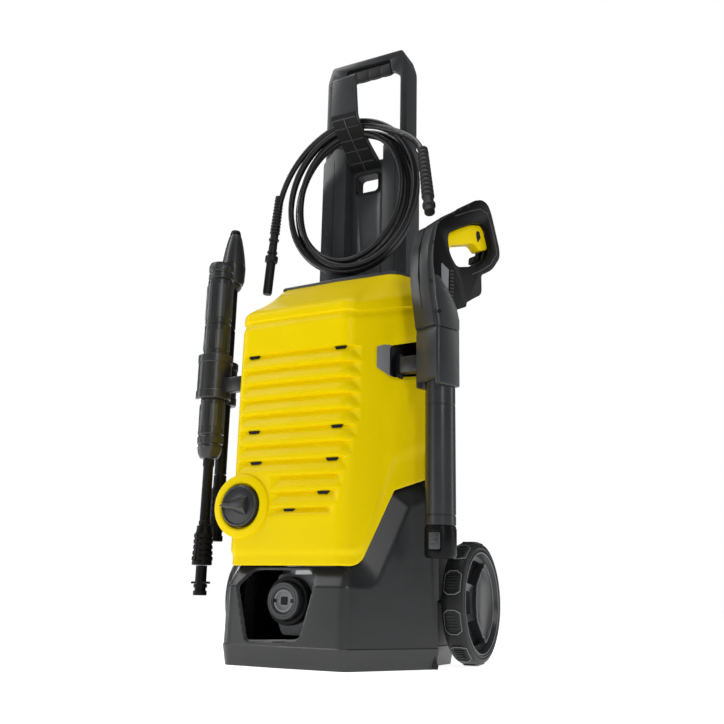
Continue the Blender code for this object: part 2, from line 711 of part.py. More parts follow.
def lance_holder():
    """Bracket from the left side window to two spring clips open on the outside."""
    low, high = LANCE_CLIP_Z
    axes = (FRONT_LANCE, REAR_LANCE)
    walls = (0.0055, 0.0070)
    x, y = FRONT_LANCE
    arm = block((x + LANCE_SEATS[0], -ARM_START_X), (y - ARM_HALF_WIDTH, y + ARM_HALF_WIDTH), ARM_Z)
    holder = solid("lance_holder", arm, DARK_PLASTIC, True)
    for axis, radius, wall in zip(axes, LANCE_SEATS, walls):
        join(holder, solid("lance_clip", rod("z", axis, radius + wall, low, high, 28)))
    for axis, radius in zip(axes, LANCE_SEATS):
        mouth = (axis[1] - 0.8 * radius, axis[1] + 0.8 * radius)
        cut(
            holder,
            solid("lance_seat", rod("z", axis, radius + 2 * GAP, low - 0.01, high + 0.01, 28)),
            solid("lance_mouth", block((-0.25, axis[0]), mouth, (low - 0.01, high + 0.01))),
        )


def bezel(name, side):
    """Black panel behind the side window of the cover, which carries the holder's arm."""
    x_range = sorted((side * 0.0990, side * 0.1120))
    return solid(name, prism(BEZEL_OUTLINE, x_range[0], x_range[1], "x"), BLACK_PLASTIC)


def front_lance():
    def piece(name, finish, profile):
        item = solid(name, turned("z", FRONT_LANCE, profile, 24), finish, True)
        put_origin(item, (*FRONT_LANCE, profile[0][1]))
        return item
    piece("lance_bayonet", BLACK_PLASTIC, [(0.0085, 0.0745), (0.0085, 0.0880), (0.0125, 0.0885),
                                           (0.0125, 0.0915),
                                           (0.0070, 0.0920), (0.0070, 0.1107)])
    piece("lance_grip", BLACK_PLASTIC, [(0.0130, 0.1110), (0.0130, 0.1400), (0.0085, 0.1610)])
    piece("lance_tube", BLACK_PLASTIC, [(0.0066, 0.1613), (0.0066, 0.2455)])
    piece("lance_sleeve", DARK_PLASTIC, [(0.0120, 0.2458), (0.0165, 0.2520), (0.0172, 0.2750),
                                         (0.0160, 0.3000),
                                         (0.0168, 0.3830), (0.0178, 0.4250), (0.0172, 0.4910)])
    piece("lance_nozzle_ring", GREY_PLASTIC, [(0.0172, 0.4913), (0.0172, 0.5130), (0.0160, 0.5150)])


def rear_lance():
    def piece(name, finish, profile):
        item = solid(name, turned("z", REAR_LANCE, profile, 24), finish, True)
        put_origin(item, (*REAR_LANCE, profile[0][1]))
        return item
    piece("rotor_lance_grip", BLACK_PLASTIC, [(0.0085, 0.1430), (0.0085, 0.1555), (0.0100, 0.1560),
                                              (0.0110, 0.2100),
                                              (0.0085, 0.2300)])
    piece("rotor_lance_tube", BLACK_PLASTIC, [(0.0080, 0.2303), (0.0080, 0.4900)])
    piece("rotor_nozzle", DARK_PLASTIC, [(0.0100, 0.4903), (0.0165, 0.5050), (0.0172, 0.5250),
                                         (0.0130, 0.5550),
                                         (0.0075, 0.5760), (0.0065, 0.5810)])


# -------------------------------------------------------------- trigger gun
def gun_point(s, across, z):
    """Point in the gun's own frame: s along the grip, across its thickness."""
    x = GUN_AXIS[0] + s * math.sin(GUN_TURN) + across * math.cos(GUN_TURN)
    y = GUN_AXIS[1] + s * math.cos(GUN_TURN) - across * math.sin(GUN_TURN)
    return (x, y, z)


def gun_slab(outline, half_width):
    rings = [[gun_point(s, across, z) for s, z in outline] for across in (-half_width, half_width)]
    return loft(rings)


def gun_column(outline, low, high):
    """Upright solid from a plan outline of (s, across) in the gun's own frame."""
    return loft([[gun_point(s, across, z) for s, across in outline] for z in (low, high)])


def gun():
    shell_outline = [(-0.0128, 0.5110), (-0.0240, 0.5030), (-0.0330, 0.4750), (-0.0345, 0.4390),
                     (-0.0250, 0.3790),
                     (-0.0170, 0.3770), (-0.0195, 0.4160), (-0.0265, 0.4640), (-0.0190, 0.5020)]
    solid("gun_shell", gun_slab(shell_outline, 0.0155), GREY_PLASTIC)
    body_outline = [(-0.0160, 0.3950), (-0.0190, 0.4160), (-0.0260, 0.4640), (-0.0186, 0.5020),
                    (-0.0115, 0.5120),
                    (0.0010, 0.5250), (0.0170, 0.5400), (0.0350, 0.5510), (0.0440, 0.5600), (0.0590, 0.5660),
                    (0.0690, 0.5630), (0.0750, 0.5520), (0.0810, 0.5320), (0.0890, 0.5050), (0.0890, 0.4930),
                    (0.0750, 0.4750), (0.0560, 0.4640), (0.0560, 0.4390), (0.0420, 0.4310), (0.0300, 0.4230),
                    (0.0300, 0.4180), (0.0100, 0.4080), (0.0100, 0.3950)]
    body = solid("gun_body", gun_slab(body_outline, 0.0140), BLACK_PLASTIC)
    opening = [(0.0020, 0.4780), (0.0000, 0.4930), (0.0040, 0.5020), (0.0230, 0.5130), (0.0450, 0.5250),
               (0.0620, 0.5290), (0.0680, 0.5240), (0.0745, 0.5010), (0.0680, 0.4850), (0.0500, 0.4690),
               (0.0150, 0.4590), (0.0060, 0.4690)]
    slot = [(-0.0040, 0.4740), (-0.0040, 0.5060), (0.0220, 0.5230), (0.0460, 0.5370), (0.0640, 0.5430),
            (0.0750, 0.5300),
            (0.0790, 0.5030), (0.0750, 0.4900), (0.0480, 0.4740), (0.0150, 0.4700)]
    cut(body, solid("gun_opening", gun_slab(opening, 0.05)), solid("trigger_slot", gun_slab(slot, 0.0080)))
    trigger_outline = [(0.0000, 0.4900), (0.0040, 0.5010), (0.0230, 0.5130), (0.0450, 0.5250),
                       (0.0620, 0.5290),
                       (0.0670, 0.5240), (0.0745, 0.5000), (0.0600,
                                                            0.4935), (0.0520, 0.5020), (0.0120, 0.4890),
                       (0.0080, 0.4770), (0.0040, 0.4780)]
    trigger = solid("gun_trigger", gun_slab(trigger_outline, 0.0072), YELLOW)
    put_origin(trigger, gun_point(0.0040, 0.0, 0.4920))
    lock_outline = [(0.0520, 0.4760), (0.0580, 0.4785), (0.0640, 0.4850), (0.0600, 0.4895), (0.0530, 0.4860)]
    lock = solid("trigger_lock", gun_slab(lock_outline, 0.0055), BLACK_PLASTIC)
    put_origin(lock, gun_point(0.0600, 0.0, 0.4830))
    barrel_profile = [(GUN_TUBE_RADIUS, 0.1535), (GUN_TUBE_RADIUS, 0.3765)]
    solid("gun_barrel", turned("z", GUN_AXIS, barrel_profile), GREY_PLASTIC, True)
    collar = solid("gun_coupling", turned("z", GUN_AXIS, [(0.0165, 0.1190), (0.0180, 0.1210),
                                                          (0.0180, 0.1532)]),
                   BLACK_PLASTIC, True)
    cut(collar, solid("coupling_bore", rod("z", GUN_AXIS, 0.0095, 0.0, 0.145, 20)))
    x, y = GUN_AXIS
    pocket = block((x - 0.0070, x + 0.0070), (y - 0.0300, y - 0.0125), (0.1270, 0.1470))
    cut(collar, solid("button_pocket", pocket))
    button = solid("coupling_button", block((x - 0.0066, x + 0.0066), (y - 0.0195, y - 0.0145),
                                            (0.1274, 0.1466)), GREY_PLASTIC)
    put_origin(button, (x, y - 0.0195, 0.1370))


# --------------------------------------------------------------------- hose
def smooth_path(corners, count):
    """Sample a Catmull-Rom curve through the corners at even parameter steps."""
    points = [Vector(corner) for corner in corners]
    padded = [2 * points[0] - points[1]] + points + [2 * points[-1] - points[-2]]
    spans = len(points) - 1
    result = []
    for index in range(count):
        position = spans * index / (count - 1)
        span = min(int(position), spans - 1)
        t = position - span
        a, b, c, d = padded[span:span + 4]
        square = 2 * a - 5 * b + 4 * c - d
        cube = 3 * b - a - 3 * c + d
        result.append(0.5 * ((2 * b) + (c - a) * t + square * t ** 2 + cube * t ** 3))
    return result


def tube(name, path, radius, finish):
    curve = bpy.data.curves.new(name, "CURVE")
    curve.dimensions = "3D"
    curve.bevel_depth = radius
    curve.bevel_resolution = 2
    curve.use_fill_caps = True
    spline = curve.splines.new("POLY")
    spline.points.add(len(path) - 1)
    for target, point in zip(spline.points, path):
        target.co = (*point, 1.0)
    carrier = bpy.data.objects.new(name + "_curve", curve)
    CUTTERS.objects.link(carrier)
    return solid(name, as_bmesh(carrier), finish, True)


def hose_coil():
    """The hanging bundle of turns as one elliptical ring."""
    around, across = 48, 14
    bm = bmesh.new()
    rings = []
    for index in range(around):
        angle = 2 * math.pi * index / around
        ring_points = []
        for step in range(across):
            turn = 2 * math.pi * step / across
            out = COIL_BUNDLE[0] * math.cos(turn)
            x = COIL_CENTRE[0] + (COIL_RADII[0] + out) * math.cos(angle)
            y = COIL_CENTRE[1] + COIL_BUNDLE[1] * math.sin(turn)
            z = COIL_CENTRE[2] + (COIL_RADII[1] + out) * math.sin(angle)
            ring_points.append(bm.verts.new((x, y, z)))
        rings.append(ring_points)
    for index in range(around):
        here, there = rings[index], rings[(index + 1) % around]
        for step in range(across):
            following = (step + 1) % across
            bm.faces.new((here[step], here[following], there[following], there[step]))
    return solid("hose_coil", bm, BLACK_RUBBER, True)


def before(start, end, distance):
    """Point that lies on the line start-end, ahead of the start."""
    start, end = Vector(start), Vector(end)
    return start - (end - start).normalized() * distance


def hose_end(name, first, top, bottom):
    corners = [first, before(top, bottom, 0.022), before(top, bottom, 0.010), before(top, bottom, 0.0010)]
    tube(name, smooth_path(corners, 12), HOSE_RADIUS, BLACK_RUBBER)


def hose_ends():
    hose_end("hose_gun_end", (0.0960, -0.0010, 0.6900), GUN_SLEEVE_TOP, GUN_SLEEVE_BOTTOM)
    hose_end("hose_free_end", (-0.1020, 0.0020, 0.6920), FREE_SLEEVE_TOP, FREE_SLEEVE_BOTTOM)
    sleeve("gun_kink_sleeve", GUN_SLEEVE_TOP, GUN_SLEEVE_BOTTOM, [(0.0058, 0.0), (0.0068, 0.55),
                                                                  (0.0068, 0.999)])
    sleeve("free_kink_sleeve", FREE_SLEEVE_TOP, FREE_SLEEVE_BOTTOM, [(0.0052, 0.0), (0.0064, 0.5),
                                                                     (0.0064, 0.995)])
    sleeve("hose_plug", FREE_SLEEVE_BOTTOM, PLUG_END, [(0.0078, 0.006), (0.0078, 0.20), (0.0092, 0.22),
                                                       (0.0092, 0.33),
                                            (0.0066, 0.36), (0.0066, 1.0)])


def sleeve(name, start, end, profile):
    """Turned piece along a slanting line; profile holds (radius, share of the length)."""
    start, end = Vector(start), Vector(end)
    direction = (end - start).normalized()
    side = direction.cross(Vector((0.0, 1.0, 0.0))).normalized()
    other = direction.cross(side)
    lead = 0.0004 * direction
    rings = []
    for radius, share in profile:
        middle = start + lead + (end - start) * share
        rings.append([middle + radius * (side * c + other * s) for c, s in circle((0, 0), 1.0, 20)])
    return solid(name, loft(rings), BLACK_RUBBER, True)


# --------------------------------------------------------------------- build
front_cover()
rear_cover()
top_cap()
base_housing()
base_plate()
wheel(-1, "left")
wheel(1, "right")
axle()
column()
handle()
hose_hook()
switch_knob()
switch_box()
water_outlet()
water_inlet()
cord_gland()
pump()
motor()
gun_holder()
lance_holder()
bezel("bezel_right", 1)
bezel("bezel_left", -1)
front_lance()
rear_lance()
gun()
hose_coil()
hose_ends()
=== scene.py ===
"""Looks of an upright pressure washer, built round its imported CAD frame.

Metres, +Z up, -Y is the front, +X is the gun side.
"""

import math

import bmesh
import bpy
from mathutils import Matrix, Vector


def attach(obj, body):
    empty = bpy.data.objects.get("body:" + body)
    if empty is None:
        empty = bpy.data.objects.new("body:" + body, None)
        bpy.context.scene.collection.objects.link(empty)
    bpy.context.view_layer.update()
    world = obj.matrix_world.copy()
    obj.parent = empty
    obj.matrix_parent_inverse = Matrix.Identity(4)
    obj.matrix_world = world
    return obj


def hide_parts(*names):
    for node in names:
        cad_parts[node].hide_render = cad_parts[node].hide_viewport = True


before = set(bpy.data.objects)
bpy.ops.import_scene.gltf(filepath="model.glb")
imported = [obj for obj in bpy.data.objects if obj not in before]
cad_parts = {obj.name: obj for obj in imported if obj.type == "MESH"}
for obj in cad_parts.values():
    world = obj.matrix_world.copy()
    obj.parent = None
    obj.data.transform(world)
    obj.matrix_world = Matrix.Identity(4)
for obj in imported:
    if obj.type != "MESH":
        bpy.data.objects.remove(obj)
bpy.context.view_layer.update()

# camera
CAMERA_PLACE = (0.529, -0.9656, 0.0736)
CAMERA_YAW = math.radians(27.3575)
CAMERA_PITCH = math.radians(15.2652)
CAMERA_ROLL = math.radians(1.281)
CAMERA_LENS = 43.303

# covers
COVER_FRONT_Y = -0.122
COVER_BOTTOM_Z = 0.1085
CORNER = (0.0742, -0.1205)
FLANK_END = (0.132, -0.0203)
HOOD_START_Z = 0.412
HOOD_TOP_Z = 0.477
GROOVE_Z = 0.398
LOUVRE_TOP_Z = 0.3575
LOUVRE_PITCH = 0.0185
LOUVRE_COUNT = 11
LOUVRE_DEPTH = 0.0056
LOUVRE_LEFT = -0.072
COLUMN_SPACING = 0.0017
LOUVRE_RIGHTS = (0.09, 0.09, 0.09, 0.09, 0.09, 0.0857, 0.081, 0.0757, 0.0705, 0.0657, 0.0589)
WINDOW = ((-0.084, 0.3235), (-0.084, 0.3605), (0.01, 0.393), (0.01, 0.2895), (-0.065, 0.3275))
DECK_Z = 0.205

# running gear
WHEEL_CENTRE = (0.069, 0.073)
WHEEL_RADIUS = 0.073
WHEEL_OUTER_X = 0.1654
TYRE_WIDTH = 0.028
RIM_RADIUS = 0.0607
TREAD_PADS = 10

# controls and accessories
KNOB_CENTRE = (-0.061, 0.1754)
KNOB_RADIUS = 0.0242
BOSS_RADIUS = 0.037
OUTLET_CENTRE = (-0.0096, 0.0706)
GUN_AXIS = (0.162, -0.059)
GUN_TURN = math.radians(25)
GUN_TUBE_RADIUS = 0.0172
FRONT_LANCE = (-0.163, -0.055)
REAR_LANCE = (-0.17, -0.019)

# hose
HOSE_RADIUS = 0.0042
COIL_CENTRE = (-0.003, 0.021, 0.617)
COIL_RADII = (0.1015, 0.1145)
GUN_SLEEVE = ((0.1225, -0.02, 0.644), (0.15, -0.062, 0.53))
FREE_SLEEVE = ((-0.117, 0.01, 0.638), (-0.124, 0.01, 0.562))
PLUG_END = (-0.13, 0.01, 0.488)


# ------------------------------------------------------------------ materials
def shade(tree, kind, **inputs):
    node = tree.nodes.new("ShaderNode" + kind)
    for key, value in inputs.items():
        node.inputs[key].default_value = value
    return node


def scaled(colour, factor):
    return (*(min(1.0, channel * factor) for channel in colour), 1.0)


def moulded(name, colour, roughness, grain=1400.0, relief=0.12, patchiness=0.1, wear_and_sheen=1.5, metallic=0.0,
            coat=0.0, specular=0.3):
    """Moulded or cast material: fine grain, slow changes of tone and gloss, edges lighter, partly as rubbed
    wear and partly as painted highlight.
    """
    result = bpy.data.materials.new(name)
    result.use_nodes = True
    tree = result.node_tree
    surface = tree.nodes["Principled BSDF"]
    surface.inputs["Metallic"].default_value = metallic
    surface.inputs["Coat Weight"].default_value = coat
    surface.inputs["Specular IOR Level"].default_value = specular
    surface.inputs["Coat Roughness"].default_value = 0.08
    place = tree.nodes.new("ShaderNodeTexCoord").outputs["Object"]
    patches = shade(tree, "TexNoise", Scale=22.0, Detail=3.0, Roughness=0.6)
    fine = shade(tree, "TexNoise", Scale=grain, Detail=2.0, Roughness=0.7)
    tree.links.new(place, patches.inputs["Vector"])
    tree.links.new(place, fine.inputs["Vector"])

    tone = tree.nodes.new("ShaderNodeValToRGB")
    tone.color_ramp.elements[0].position = 0.3
    tone.color_ramp.elements[0].color = scaled(colour, 1 - patchiness)
    tone.color_ramp.elements[1].position = 0.7
    tone.color_ramp.elements[1].color = scaled(colour, 1 + patchiness)
    tree.links.new(patches.outputs["Fac"], tone.inputs["Fac"])

    # Edges are lightened by pointiness: partly rubbed wear, partly a painted highlight along the edges.
    edges = tree.nodes.new("ShaderNodeNewGeometry").outputs["Pointiness"]
    edge_wear_and_highlight = tree.nodes.new("ShaderNodeMapRange")
    edge_wear_and_highlight.inputs["From Min"].default_value = 0.52
    edge_wear_and_highlight.inputs["From Max"].default_value = 0.6
    edge_wear_and_highlight.inputs["To Max"].default_value = 0.6
    tree.links.new(edges, edge_wear_and_highlight.inputs["Value"])
    blend = tree.nodes.new("ShaderNodeMix")
    blend.data_type = "RGBA"
    blend_inputs = {socket.identifier: socket for socket in blend.inputs}
    blend_inputs["B_Color"].default_value = scaled(colour, wear_and_sheen)
    tree.links.new(edge_wear_and_highlight.outputs["Result"], blend_inputs["Factor_Float"])
    tree.links.new(tone.outputs["Color"], blend_inputs["A_Color"])
    mixed = next(socket for socket in blend.outputs if socket.identifier == "Result_Color")
    tree.links.new(mixed, surface.inputs["Base Color"])

    gloss = tree.nodes.new("ShaderNodeMapRange")
    gloss.inputs["To Min"].default_value = roughness - 0.06
    gloss.inputs["To Max"].default_value = roughness + 0.08
    tree.links.new(patches.outputs["Fac"], gloss.inputs["Value"])
    tree.links.new(gloss.outputs["Result"], surface.inputs["Roughness"])

    bump = shade(tree, "Bump", Strength=relief, Distance=0.0003)
    tree.links.new(fine.outputs["Fac"], bump.inputs["Height"])
    tree.links.new(bump.outputs["Normal"], surface.inputs["Normal"])
    return result


FINISHES = {"yellow": moulded("yellow_gloss", (0.8, 0.6, 0.0), 0.3, grain=500, relief=0.02, patchiness=0.02,
                              wear_and_sheen=1.02, specular=0.07), "dark": moulded("dark_grained",
                                                                         (0.019, 0.02, 0.0215), 0.3,
                                                                         relief=0.05, specular=0.5),
            "grey": moulded("grey_grained", (0.03, 0.0315, 0.034), 0.3, relief=0.05, specular=0.5),
            "light_grey": moulded("light_grey_grained", (0.16, 0.165, 0.175), 0.42),
            "black": moulded("black_satin", (0.004, 0.004, 0.0045), 0.34, wear_and_sheen=3.0, specular=0.13),
            "rubber": moulded("black_rubber", (0.008, 0.008, 0.009), 0.5, grain=900, relief=0.25, wear_and_sheen=2.5),
            "hose": moulded("hose_rubber", (0.009, 0.009, 0.01), 0.3, grain=600, relief=0.1, wear_and_sheen=1.5),
            "tyre": moulded("tyre_plastic", (0.008, 0.0085, 0.009), 0.42, grain=800, relief=0.2, wear_and_sheen=4.0),
            "aluminium": moulded("cast_aluminium", (0.55, 0.56, 0.57), 0.38, grain=700, relief=0.3,
                                 metallic=1.0, wear_and_sheen=1.2), "steel": moulded("turned_steel", (0.5, 0.5, 0.51),
                                                                           0.28, grain=400, relief=0.1,
                                                                           metallic=1.0, wear_and_sheen=1.2),
            "brass": moulded("drawn_brass", (0.7, 0.5, 0.2), 0.3, grain=400, relief=0.1, metallic=1.0,
                             wear_and_sheen=1.2), "copper": moulded("winding_copper", (0.6, 0.26, 0.12), 0.4,
                                                          grain=300, relief=0.5, metallic=1.0, wear_and_sheen=1.2),}


# ---------------------------------------------------------------- mesh helpers
def item_from(name, bm):
    bmesh.ops.recalc_face_normals(bm, faces=bm.faces)
    mesh = bpy.data.meshes.new(name)
    bm.to_mesh(mesh)
    bm.free()
    item = bpy.data.objects.new(name, mesh)
    bpy.context.scene.collection.objects.link(item)
    return item


def bake(item):
    """Replace an item's mesh with what its modifiers make, and drop them."""
    bpy.context.view_layer.update()
    mesh = bpy.data.meshes.new_from_object(item.evaluated_get(bpy.context.evaluated_depsgraph_get()))
    item.modifiers.clear()
    item.data = mesh
    return item


def combined(item, others, operation="DIFFERENCE"):
    """Cut the other items from this one, or join them to it, and remove them."""
    for other in others:
        modifier = item.modifiers.new("combine", "BOOLEAN")
        modifier.operation = operation
        modifier.solver = "EXACT"
        modifier.object = other
    bake(item)
    for other in others:
        bpy.data.objects.remove(other, do_unlink=True)
    return item


def softened(item, width, segments=2, angle=32):
    bevel = item.modifiers.new("soften", "BEVEL")
    bevel.width = width
    bevel.segments = segments
    bevel.limit_method = "ANGLE"
    bevel.angle_limit = math.radians(angle)
    bevel.use_clamp_overlap = True
    return bake(item)


def merged(item, others):
    """Gather several meshes in one item without cutting them."""
    bm = bmesh.new()
    for source in (item, *others):
        bm.from_mesh(source.data)
    bm.to_mesh(item.data)
    bm.free()
    for other in others:
        bpy.data.objects.remove(other, do_unlink=True)
    return item


def gathered(items, name):
    """Gather a list of items in its first one, under one name."""
    merged(items[0], items[1:])
    items[0].name = name
    return items[0]


def finished(item, finish, body="machine", replaces=(), crease=38):
    """Give an item its material, shading, body and the CAD nodes that it stands for."""
    item.data.materials.clear()
    item.data.materials.append(FINISHES[finish])
    item.data.polygons.foreach_set("material_index", [0] * len(item.data.polygons))
    item.data.polygons.foreach_set("use_smooth", [True] * len(item.data.polygons))
    item.data.set_sharp_from_angle(angle=math.radians(crease))
    if replaces:
        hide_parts(*replaces)
    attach(item, body)
    return item


def loft(rings, capped=True):
    """Join equal-length closed rings of points into a skin."""
    bm = bmesh.new()
    made = [[bm.verts.new(point) for point in ring] for ring in rings]
    count = len(made[0])
    for lower, upper in zip(made, made[1:]):
        for index in range(count):
            following = (index + 1) % count
            bm.faces.new((lower[index], lower[following], upper[following], upper[index]))
    if capped:
        bm.faces.new(list(reversed(made[0])))
        bm.faces.new(made[-1])
    return bm


def along_x(first, second, depth):
    return Vector((depth, first, second))


def along_y(first, second, depth):
    return Vector((first, depth, second))


def along_z(first, second, depth):
    return Vector((first, second, depth))


def in_gun(first, second, depth):
    """Gun's own frame: first along the grip, second up, depth across its thickness."""
    x = GUN_AXIS[0] + first * math.sin(GUN_TURN) + depth * math.cos(GUN_TURN)
    y = GUN_AXIS[1] + first * math.cos(GUN_TURN) - depth * math.sin(GUN_TURN)
    return Vector((x, y, second))


def prism(outline, low, high, place):
    return loft([[place(a, b, depth) for a, b in outline] for depth in (low, high)])


def box(x_range, y_range, z_range):
    corners = [(x_range[0], y_range[0]), (x_range[1], y_range[0]), (x_range[1], y_range[1]),
               (x_range[0], y_range[1])]
    return prism(corners, z_range[0], z_range[1], along_z)


def corner_arc(previous, corner, following, reach, steps):
    """Points of a round corner that starts and ends a reach away from the sharp one."""
    before, after = previous - corner, following - corner
    reach = min(reach, 0.48 * before.length, 0.48 * after.length)
    before, after = before.normalized() * reach, after.normalized() * reach
    half = (before + after) / 2
    if half.length < 0.05 * reach:
        return [tuple(corner)]
    centre = corner + half * reach ** 2 / half.length_squared
    first, last = corner + before - centre, corner + after - centre
    sweep = first.angle_signed(last)
    turn = [-sweep * step / steps for step in range(steps + 1)]
    return [(centre.x + first.x * math.cos(t) - first.y * math.sin(t), centre.y + first.x * math.sin(t) +
             first.y * math.cos(t)) for t in turn]


def rounded(outline, radius, steps=4):
    """Round every corner of a closed outline; radius is one number or one for each corner."""
    points = [Vector(point) for point in outline]
    reaches = radius if isinstance(radius, (list, tuple)) else [radius] * len(points)
    result = []
    for index, corner in enumerate(points):
        following = points[(index + 1) % len(points)]
        result += corner_arc(points[index - 1], corner, following, reaches[index], steps)
    return result


def circle(centre, radius, count=48):
    steps = [2 * math.pi * index / count for index in range(count)]
    return [(centre[0] + radius * math.cos(step), centre[1] + radius * math.sin(step)) for step in steps]


def turned_rings(profile, centre, place, count):
    return [[place(a, b, depth) for a, b in circle(centre, radius, count)] for radius, depth in profile]


def turned(profile, centre, place, count=48):
    """Skin of revolution from a profile of (radius, depth)."""
    return loft(turned_rings([(max(radius, 0.00005), depth) for radius, depth in profile], centre, place,
                             count))


def hollow(profile, centre, place, count=48):
    """Ring-shaped skin of revolution: the profile closes on itself."""
    rings = turned_rings(profile, centre, place, count)
    bm = loft(rings + rings[:1], capped=False)
    bmesh.ops.remove_doubles(bm, verts=bm.verts, dist=0.00001)
    return bm


def ribbed(start, end, radius, depth, count, taper=1.0):
    """Profile with evenly spaced raised ribs between two depths."""
    profile = []
    for index in range(count):
        for share, lift in ((0.1, 0.0), (0.22, 1.0), (0.62, 1.0), (0.74, 0.0)):
            t = (index + share) / count
            profile.append(((radius + depth * lift) * (1 + (taper - 1) * t), start + (end - start) * t))
    return profile


def smoothstep(low, high, value):
    t = min(1.0, max(0.0, (value - low) / (high - low)))
    return t * t * (3 - 2 * t)


# ------------------------------------------------------- camera, floor, lights
def make_camera():
    yaw, pitch, roll = CAMERA_YAW, CAMERA_PITCH, CAMERA_ROLL
    ahead = Vector((-math.sin(yaw) * math.cos(pitch), math.cos(yaw) * math.cos(pitch), math.sin(pitch)))
    level = Vector((math.cos(yaw), math.sin(yaw), 0.0))
    upward = level.cross(ahead)
    right = math.cos(roll) * level + math.sin(roll) * upward
    top = math.cos(roll) * upward - math.sin(roll) * level
    data = bpy.data.cameras.new("camera")
    data.lens = CAMERA_LENS
    data.sensor_width = 36.0
    item = bpy.data.objects.new("camera", data)
    turn = Matrix((right, top, -ahead)).transposed().to_4x4()
    item.matrix_world = Matrix.Translation(CAMERA_PLACE) @ turn
    bpy.context.scene.collection.objects.link(item)
    bpy.context.scene.camera = item


def make_floor():
    bm = bmesh.new()
    bmesh.ops.create_grid(bm, x_segments=1, y_segments=1, size=60.0)
    floor = item_from("floor", bm)
    paint = moulded("floor_paint", (0.8, 0.8, 0.8), 0.7, grain=60, relief=0.02, patchiness=0.004)
    surface = paint.node_tree.nodes["Principled BSDF"]
    surface.inputs["Emission Color"].default_value = (1.0, 1.0, 1.0, 1.0)
    surface.inputs["Emission Strength"].default_value = 0.88
    floor.data.materials.append(paint)


def soft_light(name, place, target, size, power, tint=(1.0, 1.0, 1.0)):
    data = bpy.data.lights.new(name, "AREA")
    data.shape = "RECTANGLE"
    data.size, data.size_y = size
    data.energy = power
    data.color = tint
    item = bpy.data.objects.new(name, data)
    item.location = place
    item.rotation_euler = (Vector(target) - Vector(place)).to_track_quat("-Z", "Y").to_euler()
    bpy.context.scene.collection.objects.link(item)


def make_lights():
    """Even pale surroundings, seen as white, and large soft panels."""
    world = bpy.data.worlds.new("studio")
    world.use_nodes = True
    tree = world.node_tree
    dim = tree.nodes["Background"]
    dim.inputs["Color"].default_value = (1.0, 1.0, 1.0, 1.0)
    dim.inputs["Strength"].default_value = 0.15
    white = tree.nodes.new("ShaderNodeBackground")
    white.inputs["Color"].default_value = (1.0, 1.0, 1.0, 1.0)
    white.inputs["Strength"].default_value = 1.0
    seen = tree.nodes.new("ShaderNodeLightPath").outputs["Is Camera Ray"]
    choice = tree.nodes.new("ShaderNodeMixShader")
    tree.links.new(seen, choice.inputs[0])
    tree.links.new(dim.outputs[0], choice.inputs[1])
    tree.links.new(white.outputs[0], choice.inputs[2])
    tree.links.new(choice.outputs[0], tree.nodes["World Output"].inputs["Surface"])
    bpy.context.scene.world = world
    bpy.context.scene.view_settings.view_transform = "Standard"
    soft_light("key", (-1.3, -1.0, 2.0), (0, 0, 0.4), (0.4, 1.2), 12)
    soft_light("front_left", (-1.2, -1.85, 0.3), (0, 0, 0.3), (0.45, 0.9), 3.5)
    soft_light("front_right", (1.35, -1.5, 1.2), (0, 0, 0.4), (0.25, 1.2), 8)
    soft_light("left_strip", (-1.6, -0.5, 0.6), (0, 0, 0.4), (0.1, 1.5), 6)
    soft_light("right_strip", (1.7, 0.9, 0.8), (0, 0, 0.4), (0.12, 1.4), 5)
    soft_light("rear_left", (-1.3, 0.9, 1.0), (0, 0, 0.5), (0.4, 1.4), 8)
    soft_light("top", (0.0, -0.1, 2.2), (0, 0, 0.4), (1.0, 1.0), 12)


# ----------------------------------------------------------------------- hose
def coil_point(angle, out, depth):
    x = COIL_CENTRE[0] + (COIL_RADII[0] + out) * math.cos(angle)
    z = COIL_CENTRE[2] + (COIL_RADII[1] + out) * math.sin(angle)
    return Vector((x, COIL_CENTRE[1] + depth, z))


# where each turn lies in the bundle: distance out from its middle, and depth
COIL_TRACKS = ((0.0005, -0.0108), (0.0073, -0.0012), (0.0008, 0.01), (-0.0075, 0.002), (-0.016, -0.006),
               (0.0095, -0.011))
COIL_START = math.radians(42)
COIL_END = math.radians(5 * 360 + 132)
CROSSING = math.radians(250)
CROSSING_HALF = math.radians(65)
POINTS_A_TURN = 20
HOOK_LIMIT = -0.008


def coil_track(angle):
    """Place in the bundle at an angle; each turn passes to its next track near the bottom."""
    out, depth = COIL_TRACKS[0]
    for number, (following, current) in enumerate(zip(COIL_TRACKS[1:], COIL_TRACKS)):
        centre = CROSSING + number * 2 * math.pi
        share = smoothstep(centre - CROSSING_HALF, centre + CROSSING_HALF, angle)
        out += (following[0] - current[0]) * share
        depth += (following[1] - current[1]) * share
        if number == len(COIL_TRACKS) - 2:
            depth -= 0.006 * math.sin(math.pi * share)
    on_hook = smoothstep(0.2, 0.85, math.sin(angle))
    return out + (max(out, HOOK_LIMIT) - out) * on_hook, depth


def toward(start, end, distance):
    start, end = Vector(start), Vector(end)
    return start + (end - start).normalized() * distance


def hose_route():
    top, bottom = GUN_SLEEVE
    route = [toward(bottom, top, 0.002), toward(bottom, top, 0.04), toward(bottom, top, 0.085), Vector(top)]
    route += [toward(top, bottom, -0.018), Vector((0.1085, -0.0065, 0.676))]
    count = int((COIL_END - COIL_START) / (2 * math.pi) * POINTS_A_TURN)
    for index in range(count + 1):
        angle = COIL_START + (COIL_END - COIL_START) * index / count
        route.append(coil_point(angle, *coil_track(angle)))
    top, bottom = FREE_SLEEVE
    route += [Vector((-0.1085, 0.008, 0.67)), toward(top, bottom, -0.008), toward(top, bottom, 0.02)]
    route += [toward(top, bottom, 0.05), toward(bottom, PLUG_END, 0.004)]
    return smoothed(route, 3)


def smoothed(points, rounds):
    for _ in range(rounds):
        inner = [(a + 2 * b + c) / 4 for a, b, c in zip(points, points[1:], points[2:])]
        points = [points[0], *inner, points[-1]]
    return points


